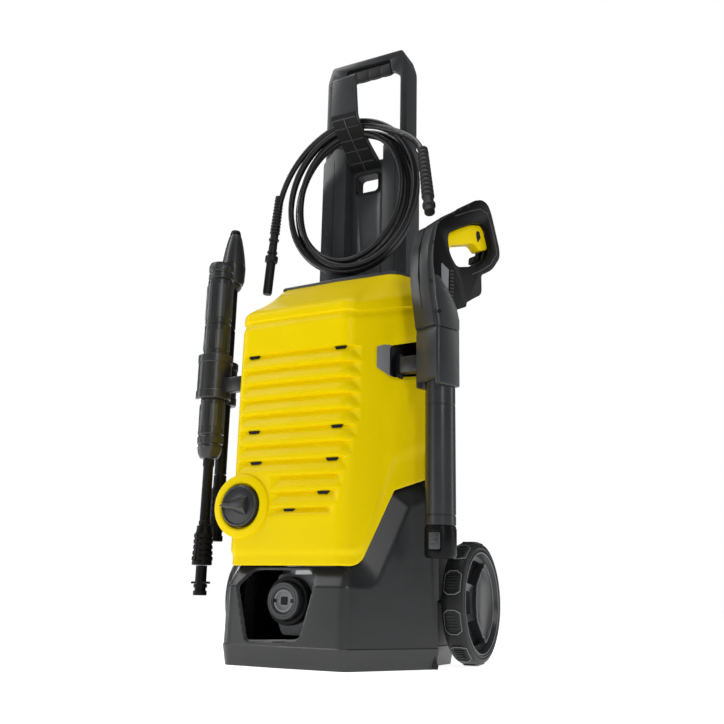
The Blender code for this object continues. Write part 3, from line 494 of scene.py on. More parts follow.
def hose_plug():
    top, end = FREE_SLEEVE[1], PLUG_END
    profile = [(0.003, -0.001), (0.006, 0.0), (0.006, 0.009), (0.0074, 0.0095), (0.0074, 0.012),
               (0.0058, 0.013), (0.0058, 0.016), (0.009, 0.0165), (0.0092, 0.0175), (0.0092, 0.0245),
               (0.0084, 0.0255), (0.0066, 0.0262), (0.0066, 0.07), (0.0058, 0.0735), (0.004, 0.0738)]
    return finished(slanted("hose_plug_part", top, end, profile), "rubber", replaces=("hose_plug",))


def slanted(name, start, end, profile, count=28):
    """Turned piece whose profile of (radius, distance) runs along a slanting line."""
    start, end = Vector(start), Vector(end)
    direction = (end - start).normalized()
    side = direction.cross(Vector((0.0, 1.0, 0.0))).normalized()
    other = direction.cross(side)
    rings = []
    for radius, distance in profile:
        middle = start + direction * distance
        rings.append([middle + radius * (side * c + other * s) for c, s in circle((0, 0), 1.0, count)])
    return item_from(name, loft(rings))


def kink_sleeve(name, ends, tip_radius, body_radius, rib_count, node):
    """Tapered anti-kink sleeve: a collar at the hose end, ribs, and a plain foot."""
    length = (Vector(ends[1]) - Vector(ends[0])).length
    profile = [(tip_radius - 0.0012, 0.0), (tip_radius + 0.0004, 0.0006), (tip_radius + 0.0004, 0.005)]
    profile += ribbed(0.0055, 0.78 * length, tip_radius - 0.0006, 0.0014, rib_count, body_radius /
                      tip_radius)
    profile += [(body_radius - 0.0006, 0.8 * length), (body_radius - 0.0006, 0.86 * length),
                (body_radius + 0.001, 0.87 * length), (body_radius + 0.001, 0.9 * length),
                (body_radius - 0.0006, 0.91 * length), (body_radius - 0.0006, 0.985 * length)]
    return finished(slanted(name, ends[0], ends[1], profile), "rubber", replaces=(node,))


def make_hose():
    route = hose_route()
    curve = bpy.data.curves.new("hose", "CURVE")
    curve.dimensions = "3D"
    curve.bevel_depth = HOSE_RADIUS
    curve.bevel_resolution = 4
    curve.use_fill_caps = True
    curve.resolution_u = 4
    spline = curve.splines.new("NURBS")
    spline.points.add(len(route) - 1)
    for target, point in zip(spline.points, route):
        target.co = (*point, 1.0)
    spline.use_endpoint_u = True
    spline.order_u = 3
    hose = bpy.data.objects.new("hose", curve)
    bpy.context.scene.collection.objects.link(hose)
    curve.materials.append(FINISHES["hose"])
    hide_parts("hose_coil", "hose_gun_end", "hose_free_end")
    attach(hose, "machine")
    plug = hose_plug()
    sleeves = [kink_sleeve("gun_kink_sleeve_part", GUN_SLEEVE, 0.0062, 0.0072, 11, "gun_kink_sleeve"),
               kink_sleeve("free_kink_sleeve_part", FREE_SLEEVE, 0.0056, 0.0064, 11, "free_kink_sleeve"),]
    length = sum((b - a).length for a, b in zip(route, route[1:]))
    tuple(route[0])


make_camera()
make_hose()
make_floor()
make_lights()


# --------------------------------------------------------------- body surfaces
def resampled(points, spacing):
    """Open line with points at an even spacing, and the distance along it to each."""
    points = [Vector(point) for point in points]
    lengths = [0.0]
    for a, b in zip(points, points[1:]):
        lengths.append(lengths[-1] + (b - a).length)
    count = max(2, round(lengths[-1] / spacing))
    result = []
    span = 0
    for index in range(count + 1):
        target = lengths[-1] * index / count
        while span < len(points) - 2 and lengths[span + 1] < target:
            span += 1
        share = (target - lengths[span]) / (lengths[span + 1] - lengths[span])
        result.append((points[span].lerp(points[span + 1], share), target))
    return result


def rounded_line(points, radii, steps=8):
    """Open line with its inner corners rounded."""
    points = [Vector(point) for point in points]
    result = [points[0]]
    for previous, corner, following, radius in zip(points, points[1:], points[2:], radii):
        result += [Vector(point) for point in corner_arc(previous, corner, following, radius, steps)]
    return result + [points[-1]]


def outward(line):
    """Outward plan direction at each point of a line that runs from the front centre round +X."""
    result = []
    for index in range(len(line)):
        before, after = line[max(0, index - 1)], line[min(len(line) - 1, index + 1)]
        step = (after - before).normalized()
        result.append(Vector((step.y, -step.x)))
    return result


def beyond(y, z, bottom, foot, knee, slope):
    """Distance outside a cover region below a bottom line, a diagonal from foot to knee and a rear line."""
    below = bottom - z
    rise = Vector((knee[0] - foot[0], knee[1] - foot[1])).normalized()
    behind = (y - foot[0]) * rise.y - (z - foot[1]) * rise.x
    under = (knee[1] + slope * (y - knee[0]) - z) / math.hypot(1.0, slope)
    side = min(behind, under)
    blend = max(0.0, 0.012 - abs(below - side)) / 0.012
    return max(below, side) + 0.25 * 0.012 * blend ** 2


def outside_cover(y, z):
    return beyond(y, z, COVER_BOTTOM_Z, (-0.1, COVER_BOTTOM_Z), (-0.061, 0.195), 0.42)


def outside_panel(y, z):
    """Outside the main panel, whose edge steps in to the cover's lower lip."""
    return beyond(y, z, 0.1262, (-0.1005, 0.1262), (-0.064, 0.24), 0.46)


def outside_step(y, z):
    return beyond(y, z, 0.1188, (-0.096, 0.1188), (-0.06, 0.223), 0.4)


def outside_window(y, z):
    distance = -1.0
    for index, corner in enumerate(WINDOW):
        following = WINDOW[(index + 1) % len(WINDOW)]
        edge = Vector((following[0] - corner[0], following[1] - corner[1])).normalized()
        distance = max(distance, (z - corner[1]) * edge.x - (y - corner[0]) * edge.y)
    return distance


def louvre_depth(across, v):
    """Depth of the slanted louvres; across runs from the front centre, positive to the gun side."""
    number = int((LOUVRE_TOP_Z - v) / LOUVRE_PITCH)
    if v > LOUVRE_TOP_Z or number >= LOUVRE_COUNT:
        return 0.0
    share = (LOUVRE_TOP_Z - v) / LOUVRE_PITCH - number
    left = LOUVRE_LEFT if number < 8 else -0.0225
    if share < 0.08:
        depth = share / 0.08
    elif number == LOUVRE_COUNT - 1:
        depth = max(0.0, 1.0 - (share - 0.08) / 0.42)
    else:
        depth = max(0.0, 1.0 - 0.86 * (share - 0.08) / 0.62) if share < 0.7 else max(0.0, 0.14 -
                                                                                     (share - 0.7))
    ends = min(LOUVRE_RIGHTS[number] - across, across - left)
    return min(depth * LOUVRE_DEPTH, max(0.0, 0.55 * ends))


def groove_depth(v):
    """Line round the top of the cover: a sharp underside above and a slope below."""
    return 0.0024 * smoothstep(GROOVE_Z + 0.003, GROOVE_Z + 0.0012, v) * smoothstep(GROOVE_Z - 0.0095,
                                                                                    GROOVE_Z, v)


def hood_share(v):
    w = (v - HOOD_START_Z) / (HOOD_TOP_Z - HOOD_START_Z)
    return 0.5 * (w + math.sqrt(w * w + 0.0025))


def lifted(v, distance):
    """The groove and the hood's crease climb towards the rear of the flanks."""
    rise = 0.27 * max(0.0, distance - 0.086)
    if v < GROOVE_Z:
        return v + rise * smoothstep(0.366, GROOVE_Z - 0.01, v)
    return v + rise * (1.0 - smoothstep(HOOD_START_Z, HOOD_TOP_Z, v))


class PlanLine:
    """Plan line of the cover's right half, sampled finely, with its outward directions."""

    def __init__(self, points, radii):
        sampled = resampled(rounded_line(points, radii), 0.0004)
        self.points = [point for point, _ in sampled]
        self.length = sampled[-1][1]
        self.facing = outward(self.points)

    def at(self, share):
        place = min(max(share, 0.0), 1.0) * (len(self.points) - 1)
        index = min(int(place), len(self.points) - 2)
        part = place - index
        return self.points[index].lerp(self.points[index + 1],
                                       part), self.facing[index].lerp(self.facing[index + 1], part)


COVER_LOW = PlanLine([(0.0, COVER_FRONT_Y), CORNER, FLANK_END], [0.011])
COVER_HIGH = PlanLine([(0.0, -0.024), (0.086, -0.0205), (0.102, 0.011)], [0.012])


def cover_rows():
    rows = [0.0985 + 0.002 * index for index in range(28)]
    for number in range(LOUVRE_COUNT):
        top = LOUVRE_TOP_Z - number * LOUVRE_PITCH
        for share in (0.0, 0.04, 0.08, 0.13, 0.24, 0.36, 0.48, 0.6, 0.7, 0.77, 0.84, 0.92):
            rows.append(top - share * LOUVRE_PITCH)
    rows += [0.36, 0.364, 0.368, 0.372, 0.376, 0.38, 0.384, 0.387]
    rows += [GROOVE_Z + offset for offset in (-0.0095, -0.008, -0.006, -0.004, -0.002, 0.0, 0.0006, 0.0012,
                                              0.0018, 0.0024, 0.003, 0.0045, 0.007, 0.01, 0.0125, 0.015,
                                              0.018, 0.022, 0.028, 0.036, 0.046, 0.056, 0.065, 0.072,
                                              0.0765)]
    rows += [HOOD_TOP_Z]
    return sorted(row for row in set(rows) if row < 0.1545 or row > 0.1546)


def cover_relief(x, y, distance, v, z):
    across = math.copysign(distance, x)
    depth = louvre_depth(across, v) + groove_depth(v)
    panel, step = outside_panel(y, z), outside_step(y, z)
    if panel > 0:
        depth += 0.0026 * (1.0 if step > 0 else smoothstep(0.0, 1.0, panel / (panel - step)))
    lip = outside_cover(y, z)
    depth += 0.0012 * smoothstep(-0.0022, 0.0, lip) ** 2
    if distance > 0.09:
        rim = outside_window(y, z)
        depth += 0.0022 * (1.0 - smoothstep(0.0, 0.0042, rim))
    top = smoothstep(HOOD_TOP_Z - 0.003, HOOD_TOP_Z, v)
    return depth + 0.001 * top ** 2


def cover_point(distance, v, side):
    """Point of the cover's skin, at a distance along its plan from the front centre."""
    z = lifted(v, distance)
    low, facing = COVER_LOW.at(distance / COVER_LOW.length)
    plan = low.lerp(COVER_HIGH.at(distance / COVER_LOW.length)[0], hood_share(v))
    moved = plan - facing * cover_relief(side * plan.x, plan.y, distance, v, z)
    return Vector((side * moved.x, moved.y, z))


def cover_margin(distance, v, side):
    """How far inside the cover's material a place is; negative in the openings and below the edge."""
    z = lifted(v, distance)
    low = COVER_LOW.at(distance / COVER_LOW.length)[0]
    margin = -outside_cover(low.y, z)
    if distance > 0.09:
        margin = min(margin, outside_window(low.y, z))
    if side < 0:
        reach = math.hypot(side * low.x - KNOB_CENTRE[0], z - KNOB_CENTRE[1])
        margin = min(margin, reach - KNOB_RADIUS - 0.0016)
    return margin


def pulled_to_edge(margin, distance, v, side):
    """Move a place that lies just outside the material on to its edge."""
    step = 0.0001
    for _ in range(4):
        here = margin(distance, v, side)
        by_distance = (margin(distance + step, v, side) - here) / step
        by_height = (margin(distance, v + step, side) - here) / step
        steepness = by_distance ** 2 + by_height ** 2
        if steepness < 0.01:
            break
        distance -= here * by_distance / steepness
        v -= here * by_height / steepness
    return distance, v


def trimmed_skin(name, columns, rows, point, margin, thickness):
    """Skin over a grid of (distance, side) by height, trimmed where the margin is negative."""
    margins = [[margin(distance, v, side) for distance, side in columns] for v in rows]
    bm = bmesh.new()
    grid = []
    for j, v in enumerate(rows):
        line = []
        for i, (distance, side) in enumerate(columns):
            around = [margins[b][a] for a in range(max(0, i - 1), min(len(columns), i + 2))
                      for b in range(max(0, j - 1), min(len(rows), j + 2))]
            if margins[j][i] >= 0:
                line.append(bm.verts.new(point(distance, v, side)))
            elif max(around) > 0:
                line.append(bm.verts.new(point(*pulled_to_edge(margin, distance, v, side), side)))
            else:
                line.append(None)
        grid.append(line)
    for lower, upper in zip(grid, grid[1:]):
        for i in range(len(columns) - 1):
            corners = (lower[i], lower[i + 1], upper[i + 1], upper[i])
            if all(corners):
                bm.faces.new(corners)
    bmesh.ops.dissolve_degenerate(bm, dist=0.00002, edges=bm.edges)
    skin = item_from(name, bm)
    shell = skin.modifiers.new("shell", "SOLIDIFY")
    shell.thickness = thickness
    shell.offset = -1.0
    return bake(skin)


def both_sides(length, spacing):
    """Columns from the far left end through the front centre to the far right end."""
    count = round(length / spacing)
    left = [(length * index / count, -1) for index in range(count, 0, -1)]
    return left + [(length * index / count, 1) for index in range(count + 1)]


def front_cover():
    columns = both_sides(COVER_LOW.length, COLUMN_SPACING)
    cover = trimmed_skin("front_cover_shell", columns, cover_rows(), cover_point, cover_margin, 0.0024)
    front = COVER_FRONT_Y
    profile = [(KNOB_RADIUS + 0.0016, front + 0.006), (KNOB_RADIUS + 0.0016, front - 0.0012),
               (KNOB_RADIUS + 0.0026, front - 0.003), (KNOB_RADIUS + 0.0044, front - 0.0038),
               (BOSS_RADIUS - 0.0022, front - 0.003), (BOSS_RADIUS - 0.0006, front - 0.002),
               (BOSS_RADIUS, front - 0.0004), (BOSS_RADIUS, front + 0.003)]
    boss = item_from("boss", turned(profile, KNOB_CENTRE, along_y, 72))
    merged(cover, [boss])
    finished(cover, "yellow", replaces=("front_cover",), crease=30)
    # Black slots in the louvres: painted shade of the vent openings.
    vent_shade_slots = []
    for side, numbers in ((1, (0, 5, 7, 9, 10)), (-1, (0, 5, 7))):
        for number in numbers:
            middle = vent_middle(side, number)
            z = LOUVRE_TOP_Z - number * LOUVRE_PITCH - 0.003
            outline = [(middle - 0.0075, z + 0.0016), (middle + 0.0075, z + 0.0016),
                       (middle + 0.0055, z - 0.0016), (middle - 0.0055, z - 0.0016)]
            vent_shade_slots.append(item_from("slot", prism(outline, -0.1178 - 0.0008, -0.1178 + 0.002, along_y)))
    finished(gathered(vent_shade_slots, "louvre_vents"), "black")


def vent_middle(side, number):
    """Sideways place of the small slot in a louvre."""
    if side < 0:
        return {0: -0.057, 5: -0.052, 7: -0.047}[number]
    return {0: 0.062, 5: 0.06, 7: 0.055, 9: 0.045, 10: 0.0015}[number]


def rear_cover():
    """Dark shell from the yellow cover's rear edges round the back, with a vent grille."""
    low = rounded_line([FLANK_END, (0.128, 0.016), (0.116, 0.046), (0.0, 0.046)], [0.004, 0.01])
    high = rounded_line([(0.102, 0.011), (0.098, 0.02), (0.086, 0.046), (0.0, 0.046)], [0.004, 0.01])
    half_low = [point for point, _ in resampled(low, 0.004)]
    count = len(half_low)
    fine = [point for point, _ in resampled(high, 0.0005)]
    half_high = [fine[round(index * (len(fine) - 1) / (count - 1))] for index in range(count)]
    columns = [(index, 1) for index in range(count)] + [(index, -1) for index in range(count - 2, -1, -1)]
    rows = [0.2095 + 0.01 * index for index in range(21)]
    rows += [HOOD_START_Z + offset for offset in (0.0, 0.008, 0.016, 0.026, 0.04, 0.052, 0.0605, 0.065)]
    bm = bmesh.new()
    grid = []
    for v in rows:
        row = []
        for index, side in columns:
            plan = half_low[index].lerp(half_high[index], hood_share(v))
            fade = max(0.0, 1.0 - index / 8)
            row.append(bm.verts.new((side * (plan.x - 0.0005), plan.y, lifted(v, 0.19) * fade + v *
                                     (1 - fade))))
        grid.append(row)
    for lower, upper in zip(grid, grid[1:]):
        for index in range(len(columns) - 1):
            bm.faces.new((lower[index], lower[index + 1], upper[index + 1], upper[index]))
    cover = item_from("rear_cover_shell", bm)
    shell = cover.modifiers.new("shell", "SOLIDIFY")
    shell.thickness = 0.0024
    shell.offset = 1.0
    bake(cover)
    cutters = []
    for side in (-1, 1):
        for number in range(9):
            z = 0.24 + 0.014 * number
            outline = [(side * 0.078, z), (side * 0.106, z), (side * 0.106, z + 0.005),
                       (side * 0.078, z + 0.005)]
            cutters.append(item_from("grille", prism(outline, 0.02, 0.08, along_y)))
    combined(cover, cutters)
    finished(cover, "dark", replaces=("rear_cover",), crease=30)


def top_cap():
    half = [(0.0, -0.0232), (0.0845, -0.0198), (0.101, 0.011), (0.097, 0.02), (0.085, 0.0455),
            (0.0, 0.0455)]
    outline = half + [(-x, y) for x, y in reversed(half[1:-1])]
    cap = item_from("top_cap_plate", prism(rounded(outline, 0.006), HOOD_TOP_Z + 0.0002, HOOD_TOP_Z +
                                           0.0046, along_z))
    softened(cap, 0.0014)
    finished(cap, "grey", replaces=("top_cap",))


# ------------------------------------------------------------------- the base
BASE_LINE = PlanLine([(0.0, -0.123), (0.0787, -0.1195), (0.141, -0.008), (0.118, -0.006), (0.118, 0.095),
                      (0.104, 0.115), (0.0, 0.115)], [0.0095, 0.003, 0.004, 0.006, 0.006])
OUTLET_WINDOW = ((-0.047, 0.104), (0.029, 0.104), (0.037, 0.087), (0.022, 0.031), (-0.046, 0.028),
                 (-0.062, 0.086))


def inside_outlet(x, z):
    """Distance outside the outlet window, with its corners rounded; negative within it."""
    distance = -1.0
    for index, corner in enumerate(OUTLET_WINDOW):
        following = OUTLET_WINDOW[(index + 1) % len(OUTLET_WINDOW)]
        edge = Vector((following[0] - corner[0], following[1] - corner[1])).normalized()
        edge_distance = (z - corner[1]) * edge.x - (x - corner[0]) * edge.y
        blend = max(0.0, 0.005 - abs(distance - edge_distance)) / 0.005
        distance = max(distance, edge_distance) + 0.25 * 0.005 * blend ** 2
    return distance


def base_inset(x, y, z, distance):
    """How far the base's wall lies inside its plan: a tapering skirt, and a slope round the cover."""
    if z < 0.022:
        inset = 0.004 * (1.0 - z / 0.022)
    else:
        inset = 0.0009 * smoothstep(0.022, 0.0232, z) + 0.02 * (z - 0.022)
    if distance < 0.204:
        slope = max(0.0, min(1.0, 1.0 - outside_cover(y, z) / 0.0225))
        inset += 0.0125 * slope * (1.0 - smoothstep(0.188, 0.204, distance))
    if distance < 0.07:
        inset += 0.0018 * (1.0 - smoothstep(0.0, 0.0026, inside_outlet(x, z)))
    return inset


def base_point(distance, z, side):
    plan, facing = BASE_LINE.at(distance / BASE_LINE.length)
    moved = plan - facing * base_inset(side * plan.x, plan.y, z, distance)
    return Vector((side * moved.x, moved.y, z))


def base_margin(distance, z, side):
    plan = BASE_LINE.at(distance / BASE_LINE.length)[0]
    if distance < 0.07:
        return min(outside_cover(plan.y, z) - 0.0007, inside_outlet(side * plan.x, z))
    if distance < 0.2275:
        return outside_cover(plan.y, z) - 0.0007
    return DECK_Z - z


def base_housing():
    rows = [0.0, 0.004, 0.01, 0.016, 0.0205, 0.022, 0.0226, 0.0232, 0.025] + [0.0265 + 0.0018 * n
                                                                              for n in range(104)]
    columns = both_sides(BASE_LINE.length, 0.0025)
    base = trimmed_skin("base_shell", columns, rows, base_point, base_margin, 0.004)
    deck_outline = [(0.0, 0.047), (0.105, 0.047), (0.105, 0.093), (0.098, 0.106), (0.0, 0.111)]
    deck_outline += [(-x, y) for x, y in reversed(deck_outline[1:-1])]
    deck = item_from("deck", prism(deck_outline, DECK_Z - 0.004, DECK_Z - 0.0002, along_z))
    rear_wall = item_from("rear_wall", box((-0.116, 0.116), (0.0455, 0.0478), (DECK_Z - 0.002, 0.2117)))
    merged(base, [deck, rear_wall])
    finished(base, "dark", replaces=("base_housing",), crease=28)
    liner()


def liner():
    """Black tunnel behind the outlet window."""
    outer = rounded([(-0.066, 0.108), (0.041, 0.108), (0.041, 0.024), (-0.066, 0.024)], 0.004)
    inner = rounded([(-0.064, 0.106), (0.039, 0.106), (0.039, 0.026), (-0.064, 0.026)], 0.004)
    rings = [[along_y(a, b, depth) for a, b in outline] for outline, depth in ((outer, -0.0985),
                                                                               (outer, -0.08),
                                                                               (inner, -0.0802),
                                                                               (inner, -0.0985))]
    bm = loft(rings, capped=False)
    count = len(outer)
    bm.verts.ensure_lookup_table()
    for index in range(count):
        following = (index + 1) % count
        first, last = index, 3 * count
        bm.faces.new((bm.verts[first], bm.verts[following], bm.verts[last + following],
                      bm.verts[last + index]))
    finished(item_from("outlet_liner", bm), "black")


front_cover()
rear_cover()
top_cap()
base_housing()


# ------------------------------------------------------- column, handle, hook
def column_panel():
    """Fixed column: two raised cheeks with arched tops, a sunk channel between them and a socket."""
    front, floor, back = 0.05, 0.064, 0.094
    cheek_tops = {-1: [(0.0305, 0.713), (0.0425, 0.718), (0.048, 0.719), (0.0655, 0.702)],
                  1: [(0.0305, 0.708), (0.038, 0.718), (0.045, 0.719), (0.0655, 0.712)]}
    pieces = []
    for side, top in cheek_tops.items():
        outline = [(side * x, z) for x, z in [(0.024, DECK_Z + 0.001)] + [(0.024, 0.7)] + top]
        outline += [(side * 0.068, 0.698), (side * 0.068, DECK_Z + 0.001)]
        cheek = item_from("cheek", prism(rounded(outline, [0.0005, 0.004, 0.006, 0.006, 0.006, 0.004, 0.003,
                                                           0.0005]), front, back, along_y))
        channel_wall = [(side * 0.0205, front - 0.01), (side * 0.0315, front - 0.01), (side * 0.03, front),
                        (side * 0.025, floor), (side * 0.0205, floor)]
        slot_x = sorted((side * 0.0542, side * 0.0668))
        cuts = [item_from("wall", prism(channel_wall, 0.1, 0.8, along_z)),
                item_from("post_slot", box(slot_x, (0.0514, 0.0888), (0.1, 0.8))),
                item_from("hollow", box(sorted((side * 0.0, side * 0.048)), (0.07, 0.1), (0.1, 0.8)))]
        combined(cheek, cuts)
        softened(cheek, 0.0016, 3)
        pieces.append(cheek)
    plate = item_from("plate", box((-0.0252, 0.0252), (floor, floor + 0.006), (DECK_Z + 0.001, 0.695)))
    socket = rounded([(-0.017, 0.645), (0.017, 0.645), (0.017, 0.673), (-0.017, 0.673)], 0.0055)
    combined(plate, [item_from("socket", prism(socket, 0.0, 0.2, along_y))])
    softened(plate, 0.0012)
    rim_rings = [[along_y(a, b, depth) for a, b in rounded([(-w, 0.659 - h), (w, 0.659 - h), (w, 0.659 + h),
                                                            (-w, 0.659 + h)], 0.006)]
                 for w, h, depth in ((0.0196, 0.0166, 0.0645), (0.0196, 0.0166, 0.0626),
                                     (0.0182, 0.0152, 0.0616), (0.0166, 0.0136, 0.0626),
                                     (0.0164, 0.0134, 0.08), (0.018, 0.015, 0.08))]
    rim = item_from("socket_rim", loft(rim_rings, capped=False))
    seams = [item_from("seam", box(sorted((side * 0.0494, side * 0.05)), (front - 0.00015, front + 0.001),
                                   (0.3, 0.7))) for side in (-1, 1)]
    merged(pieces[0], [pieces[1], plate])
    pieces[0].name = "column_shell"
    finished(pieces[0], "grey", replaces=("column_panel",))
    finished(rim, "black")
    finished(gathered(seams, "column_seams"), "black")


def handle():
    outline = [(-0.066, 0.34), (-0.066, 0.836), (-0.0585, 0.8598), (0.0585, 0.8598), (0.066, 0.836),
               (0.066, 0.34), (0.0552, 0.34), (0.0552, 0.818), (0.044, 0.829), (-0.044, 0.829),
               (-0.0552, 0.818), (-0.0552, 0.34)]
    reach = [0.001, 0.006, 0.004, 0.004, 0.006, 0.001, 0.001, 0.006, 0.006, 0.006, 0.006, 0.001]
    frame_item = item_from("handle_frame_shell", prism(rounded(outline, reach), 0.0524, 0.0878, along_y))
    seat = item_from("seat", prism(rounded([(-0.038, 0.824), (0.042, 0.824), (0.038, 0.8495),
                                            (-0.034, 0.8495)], 0.003), 0.0, 0.07, along_y))
    rear_flute = item_from("rear_flute", prism(rounded([(-0.04, 0.836), (0.04, 0.836), (0.04, 0.852),
                                                        (-0.04, 0.852)], 0.004), 0.086, 0.1, along_y))
    wedge = item_from("wedge", prism([(0.06, 0.82), (0.1, 0.82), (0.1, 0.85), (0.083, 0.848),
                                      (0.06, 0.8292)], -0.05, 0.05, along_x))
    combined(frame_item, [seat, rear_flute, wedge])
    softened(frame_item, 0.0022, 3)
    finished(frame_item, "dark", body="handle", replaces=("handle_frame",))
    rings = []
    count = 64
    for index in range(count + 1):
        share = index / count
        x = -0.0364 + 0.0768 * share
        dip = 0.0016 * abs(math.sin(math.pi * share * 4)) ** 0.35 if 0.0 < share < 1.0 else 0.0
        end = 0.004 * (1 - min(1.0, min(share, 1 - share) / 0.06)) ** 2
        low, high = 0.8275 - dip + end, 0.848 - end
        section = rounded([(0.0536 - dip + end, low), (0.062, low + 0.001), (0.07, high - 0.008),
                           (0.07, high), (0.0545 + end, high)], [0.005, 0.003, 0.001, 0.001, 0.006], 5)
        rings.append([(x, y, z) for y, z in section])
    grip = item_from("handle_grip_pad", loft(rings))
    finished(grip, "rubber", body="handle", replaces=("handle_grip",), crease=60)


def hose_hook():
    """J-shaped hook: a tapering lip in front and a black ribbed saddle below."""
    line = [(0.0637, 0.678), (0.03, 0.6985), (-0.002, 0.718), (-0.013, 0.726), (-0.0165, 0.789),
            (-0.0115, 0.7925), (-0.0085, 0.788), (-0.0065, 0.73), (0.001, 0.723), (0.03, 0.706),
            (0.0637, 0.694)]
    outline = rounded(line, [0.001, 0.02, 0.004, 0.008, 0.003, 0.002, 0.003, 0.008, 0.006, 0.02, 0.001])
    rings = []
    for share in (-1.0, 1.0):
        ring = []
        for y, z in outline:
            width = 0.0203 - 0.003 * smoothstep(0.735, 0.79, z)
            ring.append((share * width - 0.002, y, z))
        rings.append(ring)
    hook = softened(item_from("hose_hook_part", loft(rings)), 0.0014, 3)
    finished(hook, "grey", replaces=("hose_hook",))
    saddle = []
    path = [(-0.014, 0.731), (-0.0118, 0.7255), (-0.002, 0.717), (0.015, 0.7066), (0.03, 0.6975),
            (0.047, 0.6872), (0.06, 0.6794)]
    for index, (y, z) in enumerate(path):
        ahead = Vector(path[min(index + 1, len(path) - 1)]) - Vector(path[max(index - 1, 0)])
        normal = Vector((ahead.y, -ahead.x)).normalized()
        normal = normal if normal.y < 0 else -normal
        above, below = normal * 0.0007, normal * -0.0008
        saddle.append([(-0.0213, y + above.x, z + above.y), (0.0173, y + above.x, z + above.y),
                       (0.0173, y + below.x, z + below.y), (-0.0213, y + below.x, z + below.y)])
    underside = item_from("hook_saddle", loft(saddle))
    finished(underside, "black")
    ribs = []
    for index in (1, 2, 3, 4, 5):
        y, z = path[index]
        ribs.append(item_from("rib", box((-0.0205, 0.0165), (y - 0.0006, y + 0.0006),
                                         (z - 0.002, z + 0.0006))))
    lengthwise = [[(x, y, z - drop) for x, drop in ((-0.0026, 0.0018), (-0.0014, 0.0018), (-0.0014, 0.0),
                                                    (-0.0026, 0.0))] for y, z in path]
    ribs.append(item_from("rib", loft(lengthwise)))
    finished(gathered(ribs, "hook_ribs"), "grey")


# ----------------------------------------------------------- controls, outlet
def switch_knob():
    x, z = KNOB_CENTRE
    front = COVER_FRONT_Y
    profile = [(0.004, -0.103), (0.004, front + 0.004), (0.0236, front + 0.0045), (0.0242, front + 0.003),
               (0.0242, front - 0.004), (0.0236, front - 0.0062), (0.0222, front - 0.0072),
               (0.0214, front - 0.0066), (0.0206, front - 0.0058), (0.0198, front - 0.0062),
               (0.01, front - 0.0064), (0.00005, front - 0.0064)]
    knob = item_from("switch_knob_part", turned(profile, KNOB_CENTRE, along_y, 72))
    radius = KNOB_RADIUS
    wide = [(-0.92, 0.04), (0.2, 0.42), (0.5, 0.44), (0.5, -0.44), (0.2, -0.42), (-0.92, -0.04)]
    ridge = [(-0.86, 0.03), (0.2, 0.17), (0.5, 0.19), (0.5, -0.19), (0.2, -0.17), (-0.86, -0.03)]
    rings = [[along_y(x + radius * a, z + radius * b, depth) for a, b in outline]
             for outline, depth in ((wide, front - 0.005), (wide, front - 0.007), (ridge, front - 0.0145))]
    fin = softened(item_from("fin", loft(rings)), 0.0007, 2, 25)
    merged(knob, [fin])
    finished(knob, "dark", body="knob", replaces=("switch_knob",))


def water_outlet():
    plate = rounded([(-0.03, 0.1), (0.026, 0.1), (0.031, 0.084), (0.022, 0.033), (-0.022, 0.033),
                     (-0.034, 0.06)], 0.005)
    plate_item = softened(item_from("outlet_back_plate", prism(plate, -0.084, -0.0815, along_y)), 0.0008)
    combined(plate_item, [item_from("bore", prism(circle(OUTLET_CENTRE, 0.0112, 40), -0.2, 0.0, along_y))])
    finished(plate_item, "light_grey", replaces=("outlet_plate",))
    flange = [(0.015, -0.0842), (0.0268, -0.0842), (0.027, -0.086), (0.027, -0.0945), (0.0262, -0.096),
              (0.0222, -0.096), (0.0222, -0.088), (0.015, -0.088)]
    finished(item_from("outlet_collar", hollow(flange, OUTLET_CENTRE, along_y, 56)), "black")
    front = -0.105
    nut = [(0.0136, -0.089), (0.02, -0.089), (0.0208, -0.096), (0.0212, front + 0.0025),
           (0.0206, front + 0.0008), (0.0196, front), (0.0184, front), (0.0181, front + 0.0005),
           (0.0172, front + 0.0005), (0.0169, front), (0.0152, front + 0.0001), (0.0149, front + 0.0009),
           (0.0138, front + 0.0012), (0.0136, front + 0.0016)]
    finished(item_from("outlet_nut_part", hollow(nut, OUTLET_CENTRE, along_y, 64)), "grey",
             replaces=("outlet_nut",))
    socket = [(0.0078, -0.088), (0.0134, -0.088), (0.0134, front + 0.003), (0.0124, front + 0.0012),
              (0.0112, front + 0.0008), (0.01, front + 0.001), (0.0094, front + 0.0024),
              (0.0082, front + 0.0026), (0.0078, front + 0.0034)]
    item = item_from("outlet_socket_part", hollow(socket, OUTLET_CENTRE, along_y, 48))
    x, z = OUTLET_CENTRE
    notches = [item_from("notch", box((x + a, x + b), (front - 0.01, front + 0.006),
                                      (z - 0.0021, z + 0.0021)))
               for a, b in ((-0.015, -0.0085), (0.0085, 0.015))]
    for notch in notches:
        combined(item, [notch])
    finished(item, "light_grey", replaces=("outlet_socket",))
    core = [(0.002, -0.088), (0.0084, -0.088), (0.0084, front + 0.004), (0.0078, front + 0.0034),
            (0.002, front + 0.0034)]
    finished(item_from("outlet_core", turned(core, OUTLET_CENTRE, along_y, 32)), "light_grey")
    # Black square block in front of the core: painted shade of the socket's square hole.
    opening = rounded([(x - 0.0045, z - 0.0045), (x + 0.0045, z - 0.0045), (x + 0.0045, z + 0.0045),
                       (x - 0.0045, z + 0.0045)], 0.001)
    finished(item_from("outlet_square_hole_shade", prism(opening, front + 0.0031, -0.089, along_y)), "black")


